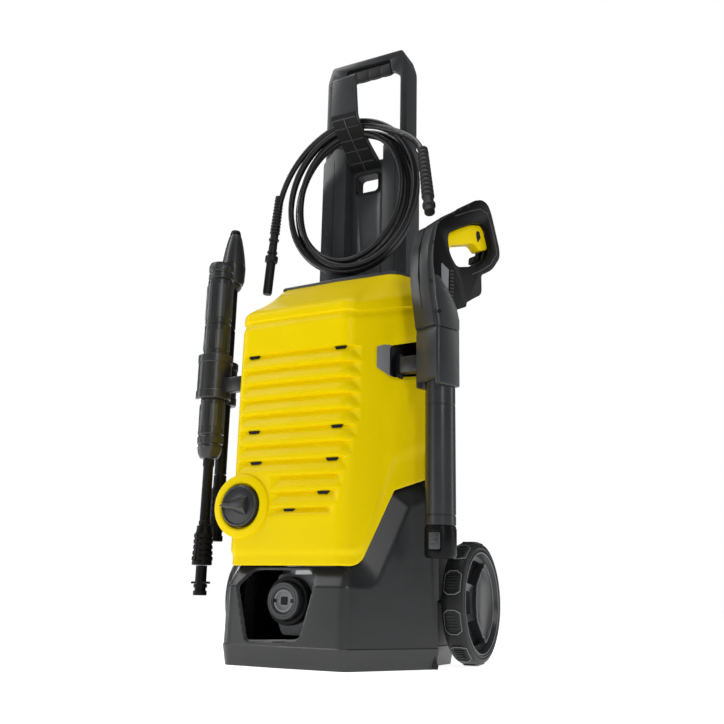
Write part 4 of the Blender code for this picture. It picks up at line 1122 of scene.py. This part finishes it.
def rear_fittings():
    """Garden-hose inlet with its strainer, and the mains cord's gland."""
    inlet = [(0.0068, 0.0885), (0.011, 0.0885), (0.011, 0.1156), (0.0124, 0.116), (0.0125, 0.117),
             (0.0125, 0.1195), (0.0117, 0.12)]
    inlet += ribbed(0.1215, 0.133, 0.0088, 0.0006, 5) + [(0.0082, 0.1339), (0.007, 0.1339), (0.0066, 0.131),
                                                         (0.0066, 0.1)]
    finished(item_from("inlet_part", hollow(inlet, (0.045, 0.1), along_y, 40)), "black",
             replaces=("inlet_connector",))
    gland = [(0.0036, 0.101), (0.0085, 0.101), (0.0085, 0.1153), (0.0113, 0.1156), (0.0114, 0.117),
             (0.0108, 0.1185)]
    gland += ribbed(0.119, 0.129, 0.0092, 0.001, 4, 0.65) + [(0.006, 0.1298), (0.0042, 0.1299),
                                                             (0.0036, 0.129)]
    finished(item_from("gland_part", turned(gland, (-0.055, 0.12), along_y, 32)), "rubber",
             replaces=("mains_gland",))


# --------------------------------------------------------------------- wheels
def wheel_place(side):
    """Radial frame of a wheel: first and second across it, depth inwards from its outer face."""
    def place(first, second, depth):
        return Vector((side * (WHEEL_OUTER_X - depth), first, second))
    return place


def wheel(side, name):
    place = wheel_place(side)
    body = "wheel_" + name
    width = TYRE_WIDTH
    crown = [(RIM_RADIUS + 0.0003, width), (0.0655, width), (0.069, width - 0.0015),
             (0.0708, width - 0.005), (0.0714, width - 0.01), (0.0714, 0.0095), (0.0708, 0.005),
             (0.069, 0.0022), (0.066, 0.0008), (0.064, 0.0006), (0.063, 0.0011), (0.062, 0.0004),
             (RIM_RADIUS + 0.0003, 0.0004)]
    rings = turned_rings(crown + crown[:1], WHEEL_CENTRE, place, 96)
    tyre = item_from("tyre_" + name + "_part", loft(rings, capped=False))
    weld(tyre)
    lugs, highlight_lines = [], []
    for index in range(TREAD_PADS):
        pads, line = tread_block(place, 2 * math.pi * (index + 0.5) / TREAD_PADS)
        lugs += pads
        highlight_lines.append(line)
    merged(tyre, lugs)
    finished(tyre, "tyre", body=body, replaces=("tyre_" + name,))
    # Light-grey lines round the tread pads: painted highlights on their edges.
    finished(gathered(highlight_lines, "tyre_" + name + "_lines"), "light_grey", body=body)
    rim(place, name, body)


def weld(item):
    bm = bmesh.new()
    bm.from_mesh(item.data)
    bmesh.ops.remove_doubles(bm, verts=bm.verts, dist=0.00001)
    bmesh.ops.recalc_face_normals(bm, faces=bm.faces)
    bm.to_mesh(item.data)
    bm.free()


def wrapped(outline, lift, place, angle):
    """Ring of points of a tread outline (along the rim, across it) wrapped round the tyre."""
    y, z = WHEEL_CENTRE
    ring = []
    for along, depth in outline:
        turn = angle + along / WHEEL_RADIUS
        radius = lift - 0.0022 * smoothstep(0.0085, 0.0035, depth) - 0.0022 * smoothstep(0.0195, 0.0245,
                                                                                         depth)
        ring.append(place(y + radius * math.cos(turn), z + radius * math.sin(turn), depth))
    return ring


def dense(outline, spacing):
    """Closed outline with extra points along its long edges."""
    result = []
    for index, point in enumerate(outline):
        following = Vector(outline[(index + 1) % len(outline)])
        point = Vector(point)
        count = max(1, math.ceil((following - point).length / spacing))
        result += [tuple(point.lerp(following, step / count)) for step in range(count)]
    return result


TREAD_PAD = ((-0.015, 0.0085), (-0.011, 0.003), (0.011, 0.003), (0.015, 0.0085), (0.015, 0.018),
             (0.011, 0.024), (-0.011, 0.024), (-0.015, 0.018))


def tread_block(place, angle):
    """Six-sided tread pad with a sunk, ribbed field, and a light-grey line round it that is a painted
    highlight on the pad's edge.
    """
    base = dense(TREAD_PAD, 0.003)
    centre = (0.0, 0.0135)
    pad = item_from("pad", loft([wrapped(about(centre, base, scale), lift, place, angle)
                                 for scale, lift in ((1.0, 0.07), (0.985, 0.0725), (0.93, 0.0727),
                                                     (0.86, 0.0726), (0.82, 0.0716))]))
    ribs = []
    for offset in (-0.0068, -0.0034, 0.0, 0.0034, 0.0068):
        bar = dense([(offset - 0.0007, 0.007), (offset + 0.0007, 0.007), (offset + 0.0007, 0.02),
                     (offset - 0.0007, 0.02)], 0.004)
        ribs.append(item_from("bar", loft([wrapped(bar, 0.0712, place, angle),
                                           wrapped(bar, 0.0724, place, angle)])))
    # Light-grey ring round the pad: painted edge highlight.
    line = item_from("line", loft([wrapped(about(centre, base, scale), lift, place, angle)
                                   for scale, lift in ((0.975, 0.0724), (0.965, 0.0729), (0.915, 0.0729),
                                                       (0.905, 0.0724))], capped=False))
    return [pad, *ribs], line


def about(centre, outline, scale):
    """Outline scaled about a centre."""
    return [tuple(Vector(centre) + (Vector(point) - Vector(centre)) * scale) for point in outline]


def raised_plate(outline, centre, steps, place):
    """Plate whose edge follows steps of (scale, depth)."""
    return loft([[place(*point, depth) for point in about(centre, outline, scale)]
                 for scale, depth in steps])


def rim(place, name, body):
    """Wheel disc: a raised outer lip and a wide plate behind the axle, both ringed with painted highlight
    lines, and a sunk spoke before it.
    """
    y, z = WHEEL_CENTRE
    lip = [(0.05, 0.0262), (RIM_RADIUS, 0.0262), (RIM_RADIUS, 0.0018), (0.0596, 0.001), (0.0586, 0.001),
           (0.0576, 0.0022), (0.0566, 0.008), (0.0535, 0.011), (0.05, 0.0115), (0.05, 0.0262)]
    rings = turned_rings(lip, WHEEL_CENTRE, place, 96)
    ring = item_from("rim_" + name + "_part", loft(rings, capped=False))
    weld(ring)
    arc = [(y + 0.053 * math.cos(math.radians(turn)), z + 0.053 * math.sin(math.radians(turn)))
           for turn in range(-66, 67, 6)]
    plate = arc + rounded([(y + 0.017, z + 0.045), (y - 0.008, z + 0.0205), (y - 0.0105, z),
                           (y - 0.008, z - 0.0205), (y + 0.017, z - 0.045)], 0.005)
    middle = (y + 0.02, z)
    extras = [item_from("plate", raised_plate(plate, middle, ((0.98, 0.02), (0.98, 0.0062), (0.95, 0.0054),
                                                              (0.93, 0.0064), (0.9, 0.007)), place))]
    spoke = rounded([(y - 0.005, z + 0.02), (y - 0.05, z + 0.025), (y - 0.056, z), (y - 0.05, z - 0.025),
                     (y - 0.005, z - 0.02)], 0.002)
    extras.append(item_from("spoke", raised_plate(spoke, (y - 0.03, z),
                                                  ((1.0, 0.02), (1.0, 0.01), (0.97, 0.009), (0.6, 0.011),
                                                   (0.56, 0.015)), place)))
    web = [(0.006, 0.018), (0.0505, 0.018), (0.0505, 0.02), (0.006, 0.02), (0.006, 0.018)]
    extras.append(item_from("web", loft(turned_rings(web, WHEEL_CENTRE, place, 64), capped=False)))
    merged(ring, extras)
    finished(ring, "dark", body=body, replaces=("rim_" + name,))
    # Light-grey rings on the rim's lip and round the plate's edge: painted highlights.
    edges = [(0.0598, 0.0012), (0.0592, 0.0006), (0.0584, 0.0008), (0.0582, 0.0016)]
    highlight_lines = [item_from("lip", loft(turned_rings(edges, WHEEL_CENTRE, place, 96), capped=False)),
             item_from("edge", loft([[place(*point, depth) for point in about(middle, plate, scale)]
                                     for scale, depth in ((0.975, 0.0064), (0.968, 0.005), (0.945, 0.005),
                                                          (0.94, 0.006))], capped=False))]
    finished(gathered(highlight_lines, "rim_" + name + "_edge_highlights"), "light_grey", body=body)


column_panel()
handle()
hose_hook()
switch_knob()
water_outlet()
rear_fittings()
wheel(-1, "left")
wheel(1, "right")


# ------------------------------------------------------------------ bezels
def bezel(side, name):
    """Black panel set in the cover's side window, with a raised frame and the seat of the holder's arm."""
    outline = rounded([(-0.069, 0.329), (-0.069, 0.3648), (-0.0235, 0.3806), (-0.0235, 0.3075),
                       (-0.0645, 0.3284)], 0.004)
    panel = item_from(name + "_part", prism(outline, side * 0.0995, side * 0.104, along_x))
    raised = rounded([(-0.06, 0.329), (-0.06, 0.356), (-0.05, 0.36), (-0.05, 0.324)], 0.003)
    arm_seat = item_from("arm_seat", prism(raised, side * 0.1035, side * 0.1118, along_x))
    softened(panel, 0.0012)
    softened(arm_seat, 0.001)
    merged(panel, [arm_seat])
    finished(panel, "black", replaces=(name,))
    plan = [(0.0928, -0.086), (0.103, -0.0675), (0.1004, -0.0655), (0.0902, -0.084)]
    jamb = item_from(name + "_jamb", prism([(side * x, y) for x, y in plan], 0.3215, 0.3665, along_z))
    finished(softened(jamb, 0.0006), "light_grey")


# --------------------------------------------------------------- trigger gun
def gun_holder():
    """Square channel round the gun's tube, lighter in front, lower at its sides, on a flat arm."""
    low, high = 0.312, 0.377
    front, rear, half = -0.0218, 0.012, 0.02
    outer = rounded([(front, -half), (rear, -half), (rear, half), (front, half)],
                    [0.0045, 0.001, 0.001, 0.0045])
    rings = []
    for z, rise, inward in ((low - 0.002, 0.0, 0.001), (low - 0.001, 0.0, 0.0), (high - 0.0012, 0.007, 0.0),
                            (high, 0.007, 0.0012)):
        rings.append([in_gun(s + (inward if s < 0 else 0.0), z + rise * (0.5 - across / 0.04), across -
                             math.copysign(inward, across)) for s, across in outer])
    holder = item_from("gun_holder_part", loft(rings))
    seat = item_from("seat", turned([(GUN_TUBE_RADIUS + 0.0006, 0.28), (GUN_TUBE_RADIUS + 0.0006, 0.4)],
                                    GUN_AXIS, along_z, 64))
    mouth = item_from("mouth", loft([[in_gun(s, z, across) for s, across in ((0.0, -0.0138),
                                                                             (0.03, -0.0138),
                                                                             (0.03, 0.0138), (0.0, 0.0138))]
                                     for z in (0.28, 0.4)]))
    combined(holder, [seat, mouth])
    front_notch = [(-0.04, 0.3), (-0.015, 0.3), (-0.015, 0.3155), (-0.04, 0.3165)]
    combined(holder, [item_from("front_notch", prism(front_notch, -0.015, 0.015, in_gun))])
    softened(holder, 0.0009, 2, 40)
    x, y = GUN_AXIS
    arm = softened(item_from("arm", box((0.1125, x - 0.0178), (y - 0.006, y + 0.006), (0.332, 0.352))),
                   0.0015)
    web = [(0.1125, 0.332), (0.135, 0.332), (0.144, 0.325), (0.144, 0.359), (0.135, 0.352), (0.1125, 0.352)]
    gusset = softened(item_from("gusset", prism(rounded(web, 0.002), y - 0.0016, y + 0.0016, along_y)),
                      0.0005)
    merged(holder, [arm, gusset])
    finished(holder, "dark", replaces=("gun_holder",))
    plate_outline = rounded([(-0.0168, 0.3185), (0.0168, 0.3185), (0.0172, 0.375), (-0.0172, 0.375)], 0.003)
    plate = item_from("holder_front", loft([[in_gun(s, z, across) for across, z in plate_outline]
                                            for s in (-0.0213, -0.0221)]))
    finished(softened(plate, 0.0003), "grey")


def gun_shell():
    """Grey front shell of the gun, closed round the black body and split down its front."""
    outline = [(-0.0128, 0.511), (-0.024, 0.503), (-0.033, 0.475), (-0.0345, 0.439), (-0.025, 0.379),
               (-0.017, 0.377), (-0.0195, 0.416), (-0.0265, 0.464), (-0.019, 0.502)]
    curve = rounded(outline, [0.003, 0.006, 0.02, 0.02, 0.002, 0.001, 0.02, 0.02, 0.004], 5)
    shell = item_from("gun_shell_part", loft([[in_gun(s, z, across) for s, z in curve]
                                              for across in (-0.0155, 0.0155)]))
    softened(shell, 0.0036, 4, 50)
    skirt_rings = []
    for z, front, rear, half in ((0.378, -0.0205, 0.015, 0.0185), (0.39, -0.0225, 0.015, 0.0188),
                                 (0.408, -0.0245, 0.0115, 0.0172), (0.425, -0.0262, 0.001, 0.016),
                                 (0.44, -0.028, -0.014, 0.0152)):
        ring = rounded([(front, -half), (rear, -half), (rear, half), (front, half)],
                       [0.008, 0.003, 0.003, 0.008], 5)
        skirt_rings.append([in_gun(s, z, across) for s, across in ring])
    merged(shell, [item_from("skirt", loft(skirt_rings))])
    finished(shell, "dark", replaces=("gun_shell",))
    seam_points = [(-0.0245, 0.38), (-0.0346, 0.439), (-0.0334, 0.474), (-0.0248, 0.501)]
    seam_rings = [[in_gun(s - out, z, across) for out, across in ((0.0004, 0.0006), (0.0004, -0.0006),
                                                                  (-0.003, -0.0006), (-0.003, 0.0006))]
                  for s, z in seam_points]
    finished(item_from("gun_seam", loft(seam_rings)), "black")
    screw = [(0.0001, 0.014), (0.0023, 0.014), (0.0023, 0.0154), (0.002, 0.0157), (0.0015, 0.0157),
             (0.0013, 0.015), (0.0001, 0.015)]
    screws = []
    for s, z in ((-0.024, 0.48), (-0.0285, 0.43), (-0.018, 0.395)):
        lift = 0.003 if z < 0.4 else 0.0002
        screws.append(item_from("screw", loft([[in_gun(a, b, depth + lift)
                                                for a, b in circle((s, z), radius, 20)]
                                               for radius, depth in screw])))
    finished(gathered(screws, "gun_screws"), "black")


def gun_body():
    """Black D-loop grip with an opening for the hand, notches on top and the barrel's mount below."""
    outer = [(-0.016, 0.395), (-0.019, 0.416), (-0.026, 0.464), (-0.0186, 0.502), (-0.0115, 0.512),
             (0.001, 0.522), (0.017, 0.535), (0.035, 0.5455), (0.044, 0.5545), (0.059, 0.5605),
             (0.069, 0.558), (0.075, 0.548), (0.081, 0.529), (0.089, 0.502), (0.089, 0.49), (0.075, 0.4705),
             (0.056, 0.459), (0.056, 0.434), (0.042, 0.4255), (0.03, 0.4175), (0.03, 0.4125),
             (0.01, 0.4035), (0.01, 0.395)]
    reach = [0.001, 0.01, 0.01, 0.005, 0.005, 0.006, 0.008, 0.004, 0.005, 0.006, 0.005, 0.006, 0.01, 0.005,
             0.005, 0.008, 0.003, 0.006, 0.004, 0.003, 0.002, 0.004, 0.001]
    body = item_from("gun_body_part", prism(rounded(outer, reach, 5), -0.0138, 0.0138, in_gun))
    opening = [(0.002, 0.478), (0.0, 0.493), (0.004, 0.502), (0.023, 0.513), (0.045, 0.525), (0.062, 0.529),
               (0.068, 0.524), (0.0745, 0.501), (0.068, 0.485), (0.05, 0.469), (0.015, 0.459),
               (0.006, 0.469)]
    slot = [(-0.004, 0.474), (-0.004, 0.506), (0.022, 0.523), (0.046, 0.537), (0.064, 0.543), (0.075, 0.53),
            (0.079, 0.503), (0.075, 0.49), (0.048, 0.474), (0.015, 0.47)]
    cuts = [item_from("opening", prism(rounded(opening, 0.005, 5), -0.05, 0.05, in_gun)),
            item_from("slot", prism(slot, -0.008, 0.008, in_gun))]
    for s, z in ((0.01, 0.53), (0.023, 0.5395), (0.036, 0.5475)):
        notch = [(s - 0.0052, z + 0.006), (s - 0.001, z - 0.0046), (s + 0.0016, z - 0.0028),
                 (s + 0.0004, z + 0.009)]
        cuts.append(item_from("notch", prism(notch, -0.05, 0.05, in_gun)))
    for cutter in cuts:
        combined(body, [cutter])
    softened(body, 0.0026, 3, 50)
    finished(body, "black", replaces=("gun_body",), crease=30)
    seam = [(0.012, 0.524), (0.035, 0.537), (0.056, 0.547), (0.068, 0.544), (0.0745, 0.529), (0.082, 0.504),
            (0.083, 0.4935), (0.072, 0.477), (0.056, 0.465), (0.04, 0.456)]
    line = []
    for index in range((len(seam) - 1) * 6 + 1):
        a, b = Vector(seam[index // 6]), Vector(seam[min(index // 6 + 1, len(seam) - 1)])
        line.append(a.lerp(b, (index % 6) / 6))
    rings = []
    for index, point in enumerate(line):
        ahead = (line[min(index + 1, len(line) - 1)] - line[max(index - 1, 0)]).normalized()
        normal = Vector((-ahead.y, ahead.x))
        rings.append([in_gun(*(point + normal * width), depth)
                      for width, depth in ((0.0005, 0.0141), (-0.0005, 0.0141), (-0.0005, -0.0141),
                                           (0.0005, -0.0141))])
    finished(item_from("grip_seam", loft(rings)), "grey")
    for side in (-1, 1):
        strip = [(-0.006, 0.402), (-0.001, 0.402), (0.001, 0.452), (-0.011, 0.458), (-0.011, 0.43)]
        panel = item_from("gun_side_panel", prism(rounded(strip, 0.0015), side * 0.013, side * 0.0146,
                                                  in_gun))
        finished(softened(panel, 0.0005), "light_grey")
        bars = [item_from("bar", prism([(0.0026, z), (0.008, z + 0.0006), (0.008, z + 0.0026),
                                        (0.0026, z + 0.002)], side * 0.013, side * 0.015, in_gun))
                for z in [0.406 + 0.0044 * n for n in range(11)]]
        finished(gathered(bars, "gun_side_bars"), "dark")


def gun_controls():
    trigger = [(0.0, 0.49), (0.004, 0.501), (0.023, 0.513), (0.045, 0.525), (0.062, 0.529), (0.067, 0.524),
               (0.0745, 0.5), (0.06, 0.4935), (0.052, 0.502), (0.012, 0.489), (0.008, 0.477),
               (0.004, 0.478)]
    reach = [0.003, 0.003, 0.006, 0.006, 0.003, 0.003, 0.003, 0.004, 0.006, 0.004, 0.002, 0.002]
    lever = item_from("gun_trigger_part", prism(rounded(trigger, reach, 5), -0.007, 0.007, in_gun))
    finished(softened(lever, 0.0018, 3, 40), "yellow", body="trigger", replaces=("gun_trigger",))
    lock = [(0.052, 0.476), (0.058, 0.4785), (0.064, 0.485), (0.06, 0.4895), (0.053, 0.486)]
    catch = item_from("trigger_lock_part", prism(rounded(lock, 0.0022), -0.0053, 0.0053, in_gun))
    finished(softened(catch, 0.001), "black", body="lock", replaces=("trigger_lock",))
    drop = [(0.0545, 0.519), (0.06, 0.52), (0.0625, 0.512), (0.057, 0.504), (0.055, 0.511)]
    mark = item_from("trigger_inset", prism(rounded(drop, 0.0018), -0.0073, 0.0073, in_gun))
    finished(mark, "black", body="trigger")


def gun_barrel():
    r = GUN_TUBE_RADIUS
    profile = [(0.01, 0.1537), (r - 0.0008, 0.1537), (r, 0.1545), (r, 0.164), (r - 0.0006, 0.1645),
               (r - 0.0006, 0.1655), (r, 0.166), (r, 0.288), (r - 0.0005, 0.2884), (r - 0.0005, 0.2892),
               (r, 0.2896), (r, 0.3762), (0.01, 0.3762)]
    tube = item_from("gun_barrel_part", turned(profile, GUN_AXIS, along_z, 64))
    finished(tube, "dark", replaces=("gun_barrel",))
    seam = [(-0.0004, 0.158), (0.0004, 0.158), (0.0004, 0.312), (-0.0004, 0.312)]
    strip = item_from("barrel_seam", loft([[in_gun(s, z, across) for across, z in seam]
                                           for s in (-r + 0.001, -r - 0.0002)]))
    finished(strip, "black")
    collar_profile = [(0.0096, 0.145), (0.0096, 0.1194), (0.0156, 0.119), (0.0166, 0.12), (0.0178, 0.122),
                      (0.0178, 0.15), (0.0172, 0.1512), (0.0172, 0.1531), (0.01, 0.1531)]
    collar = item_from("gun_coupling_part", hollow(collar_profile, GUN_AXIS, along_z, 64))
    x, y = GUN_AXIS
    window = [(x - 0.007, 0.127), (x + 0.007, 0.127), (x + 0.007, 0.147), (x - 0.007, 0.147)]
    combined(collar, [item_from("pocket", prism(rounded(window, 0.002), y - 0.03, y - 0.0125, along_y))])
    finished(softened(collar, 0.0006, 2, 50), "black", replaces=("gun_coupling",))
    key = [(x - 0.0064, 0.1276), (x + 0.0064, 0.1276), (x + 0.0064, 0.1464), (x - 0.0064, 0.1464)]
    button = softened(item_from("coupling_button_part", prism(rounded(key, 0.002), y - 0.0194, y - 0.0146,
                                                              along_y)), 0.0009)
    bars = [item_from("bar", box((x - 0.0048, x + 0.0048), (y - 0.02, y - 0.019), (z - 0.0006, z + 0.0006)))
            for z in (0.133, 0.137, 0.141)]
    merged(button, bars)
    finished(button, "grey", body="coupling_release", replaces=("coupling_button",))


# --------------------------------------------------------------------- lances
def turned_part(name, axis, profile, finish, body, replaces=(), count=40):
    return finished(item_from(name, turned(profile, axis, along_z, count)), finish, body=body,
                    replaces=replaces)


def studs(name, axis, rows, columns, radius_at, low, high, body, finish):
    """Grid of small raised blocks round a grip."""
    blocks = []
    for row in range(rows):
        z_low = low + (high - low) * (row + 0.18) / rows
        z_high = low + (high - low) * (row + 0.82) / rows
        for column in range(columns):
            middle = 2 * math.pi * (column + 0.5) / columns
            span = 0.36 * 2 * math.pi / columns
            rings = []
            for z, lift in ((z_low - 0.0006, -0.001), (z_low, 0.0011), (z_high, 0.0011),
                            (z_high + 0.0006, -0.001)):
                ring = []
                for turn in [middle + span * t for t in (-1.0, -0.6, -0.2, 0.2, 0.6, 1.0)]:
                    outer = radius_at(z) + lift
                    ring.append((axis[0] + outer * math.cos(turn), axis[1] + outer * math.sin(turn), z))
                for turn in [middle + span * t for t in (1.0, 0.0, -1.0)]:
                    inner = radius_at(z) - 0.002
                    ring.append((axis[0] + inner * math.cos(turn), axis[1] + inner * math.sin(turn), z))
                rings.append(ring)
            blocks.append(item_from("stud", loft(rings)))
    finished(gathered(blocks, name), finish, body=body)


def adjustable_lance():
    body = "adjustable_lance"
    axis = FRONT_LANCE
    bayonet = item_from("lance_bayonet_part", turned([(0.004, 0.0748), (0.0078, 0.0745), (0.0085, 0.0752),
                                                      (0.0085, 0.08), (0.007, 0.0804), (0.007, 0.0836),
                                                      (0.0085, 0.084), (0.0085, 0.0878), (0.007, 0.0884),
                                                      (0.007, 0.1106), (0.004, 0.1106)], axis, along_z, 40))
    wings = softened(item_from("wings", box((axis[0] - 0.0122, axis[0] + 0.0122),
                                            (axis[1] - 0.0042, axis[1] + 0.0042), (0.0886, 0.0914))),
                     0.0009)
    merged(bayonet, [wings])
    finished(bayonet, "black", body=body, replaces=("lance_bayonet",))
    grip_profile = [(0.006, 0.1112), (0.0118, 0.1112), (0.0127, 0.1122), (0.0122, 0.118), (0.0112, 0.13),
                    (0.011, 0.142), (0.0112, 0.15), (0.0098, 0.153), (0.0092, 0.16), (0.008, 0.1609),
                    (0.006, 0.1609)]
    turned_part("lance_grip_part", axis, grip_profile, "black", body, ("lance_grip",))
    studs("lance_grip_studs", axis, 5, 8, lambda z: 0.0122 - 0.0012 * smoothstep(0.115, 0.135, z), 0.116,
          0.151, body, "black")
    tube_profile = [(0.004, 0.1614), (0.0074, 0.1614), (0.0074, 0.166), (0.0066, 0.167), (0.0064, 0.235),
                    (0.0074, 0.237), (0.0074, 0.2452), (0.004, 0.2452)]
    turned_part("lance_tube_part", axis, tube_profile, "black", body, ("lance_tube",))
    sleeve = [(0.008, 0.246), (0.0112, 0.246), (0.0122, 0.247), (0.015, 0.253), (0.0162, 0.26),
              (0.0154, 0.2612), (0.0154, 0.264), (0.0166, 0.265), (0.017, 0.273), (0.016, 0.2744),
              (0.016, 0.2764), (0.0171, 0.2776), (0.016, 0.3), (0.0158, 0.32), (0.0162, 0.36),
              (0.0167, 0.383), (0.0176, 0.42), (0.0178, 0.4245), (0.0166, 0.4252), (0.0166, 0.4276),
              (0.0176, 0.4284), (0.0172, 0.489), (0.016, 0.4902), (0.016, 0.4908), (0.008, 0.4908)]
    turned_part("lance_sleeve_part", axis, sleeve, "dark", body, ("lance_sleeve",), 56)
    panels = []
    for low, high, radius in ((0.286, 0.318, 0.016), (0.39, 0.418, 0.017), (0.434, 0.484, 0.0173)):
        for column in range(6):
            middle = 2 * math.pi * (column + 0.25) / 6
            rings = []
            for z, lift in ((low, -0.001), (low + 0.0012, 0.0008), (high - 0.0012, 0.0008), (high, -0.001)):
                turns = [middle + 0.3 * t for t in (-1.0, -0.5, 0.0, 0.5, 1.0)]
                ring = [(axis[0] + (radius + lift) * math.cos(t), axis[1] + (radius + lift) * math.sin(t),
                         z) for t in turns]
                ring += [(axis[0] + (radius - 0.003) * math.cos(t), axis[1] + (radius - 0.003) *
                          math.sin(t), z) for t in (turns[-1], turns[0])]
                rings.append(ring)
            panels.append(item_from("panel", loft(rings)))
    finished(gathered(panels, "lance_sleeve_panels"), "grey", body=body)
    ring = [(0.008, 0.4915), (0.016, 0.4915), (0.0172, 0.4925)]
    ring += [(0.0168, 0.499), (0.0158, 0.5), (0.0158, 0.502), (0.017, 0.5032), (0.0171, 0.511),
             (0.0158, 0.5145), (0.012, 0.5149), (0.011, 0.514), (0.004, 0.514)]
    turned_part("lance_ring_part", axis, ring, "dark", "adjusting_ring", ("lance_nozzle_ring",), 56)
    studs("lance_ring_studs", axis, 1, 14, lambda z: 0.0162, 0.5036, 0.5106, "adjusting_ring", "grey")


def rotor_lance():
    body = "rotor_lance"
    axis = REAR_LANCE
    grip = [(0.004, 0.1432), (0.0078, 0.143), (0.0085, 0.1438), (0.0085, 0.15), (0.0072, 0.1506),
            (0.0072, 0.1552), (0.0094, 0.1558), (0.0098, 0.16), (0.0096, 0.19), (0.01, 0.21),
            (0.0086, 0.214), (0.0084, 0.229), (0.006, 0.2299), (0.004, 0.2299)]
    turned_part("rotor_grip_part", axis, grip, "black", body, ("rotor_lance_grip",))
    studs("rotor_grip_studs", axis, 6, 8, lambda z: 0.0098, 0.159, 0.211, body, "black")
    tube = [(0.004, 0.2304), (0.0078, 0.2304), (0.008, 0.2312), (0.008, 0.43), (0.0072, 0.4306),
            (0.0072, 0.433), (0.008, 0.4336), (0.008, 0.4896), (0.004, 0.4899)]
    turned_part("rotor_tube_part", axis, tube, "black", body, ("rotor_lance_tube",))
    cone = [(0.005, 0.4904), (0.0096, 0.4904), (0.0106, 0.4912), (0.013, 0.4955), (0.0122, 0.4962),
            (0.0122, 0.498), (0.0145, 0.499), (0.0164, 0.505), (0.017, 0.518), (0.0171, 0.5255),
            (0.016, 0.5262), (0.016, 0.5276), (0.0167, 0.5284), (0.015, 0.542), (0.0126, 0.556),
            (0.01, 0.568), (0.0078, 0.574)]
    turned_part("rotor_nozzle_part", axis, cone + [(0.005, 0.5742)], "dark", body, ("rotor_nozzle",), 56)
    tip = [(0.005, 0.5738), (0.008, 0.5744), (0.0076, 0.5765), (0.0066, 0.58), (0.006, 0.5809),
           (0.0042, 0.5809), (0.003, 0.579)]
    turned_part("rotor_nozzle_tip", axis, tip, "black", body)


def lance_holder():
    """Two ribbed spring clips on a flat arm from the left side window."""
    low, high = 0.3235, 0.3835
    x, y = FRONT_LANCE
    arm = softened(item_from("arm", box((x + 0.02, -0.1125), (y - 0.006, y + 0.006), (0.332, 0.352))),
                   0.0015)
    clips = []
    for axis, radius, wall in ((FRONT_LANCE, 0.0178, 0.0053), (REAR_LANCE, 0.0085, 0.0068)):
        outer = radius + wall
        profile = [(radius + 0.001, low), (outer - 0.0012, low), (outer, low + 0.0012),
                   (outer, low + 0.0105), (outer - 0.0008, low + 0.0115), (outer - 0.0008, high - 0.0115),
                   (outer, high - 0.0105), (outer, high - 0.0012), (outer - 0.0012, high),
                   (radius + 0.001, high)]
        inner = [(radius + 0.0006, high), (radius + 0.0006, low)]
        rings = turned_rings(profile + inner + profile[:1], axis, along_z, 56)
        clips.append(item_from("clip", loft(rings, capped=False)))
        weld(clips[-1])
    holder = clips[0]
    for axis, radius, clip in ((FRONT_LANCE, 0.0178, clips[0]), (REAR_LANCE, 0.0085, clips[1])):
        mouth = item_from("mouth", box((-0.25, axis[0]), (axis[1] - 0.8 * radius, axis[1] + 0.8 * radius),
                                       (low - 0.01, high + 0.01)))
        keep_out = [item_from("other_seat", turned([(other_radius + 0.0006, low - 0.01),
                                                    (other_radius + 0.0006, high + 0.01)], other, along_z,
                                                   40)) for other, other_radius in ((FRONT_LANCE, 0.0178),
                                                                                    (REAR_LANCE, 0.0085))
                    if other != axis]
        combined(clip, [mouth, *keep_out])
    merged(holder, [clips[1], arm])
    holder.name = "lance_holder_part"
    finished(softened(holder, 0.0006, 2, 50), "dark", replaces=("lance_holder",))


bezel(1, "bezel_right")
bezel(-1, "bezel_left")
gun_holder()
gun_shell()
gun_body()
gun_controls()
gun_barrel()
adjustable_lance()
rotor_lance()
lance_holder()


# ---------------------------------------------------------------- inner pieces
KEPT_FINISHES = {"base_plate": "dark", "wheel_axle": "steel", "switch_box": "black",
                 "pump_head": "aluminium", "pump_housing": "aluminium", "piston_1": "steel",
                 "piston_2": "steel", "piston_3": "steel", "swash_plate": "steel", "outlet_pipe": "brass",
                 "motor_housing": "dark", "stator": "copper", "motor_rotor": "steel",
                 "motor_end_cap": "aluminium", "cooling_fan": "black", "capacitor": "aluminium",
                 "inlet_strainer": "brass",}


def finish_kept_nodes():
    """Give the frame's own pieces that stay in view or inside their materials."""
    for node_name, finish in KEPT_FINISHES.items():
        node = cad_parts[node_name]
        node.data.materials.clear()
        node.data.materials.append(FINISHES[finish])


finish_kept_nodes()
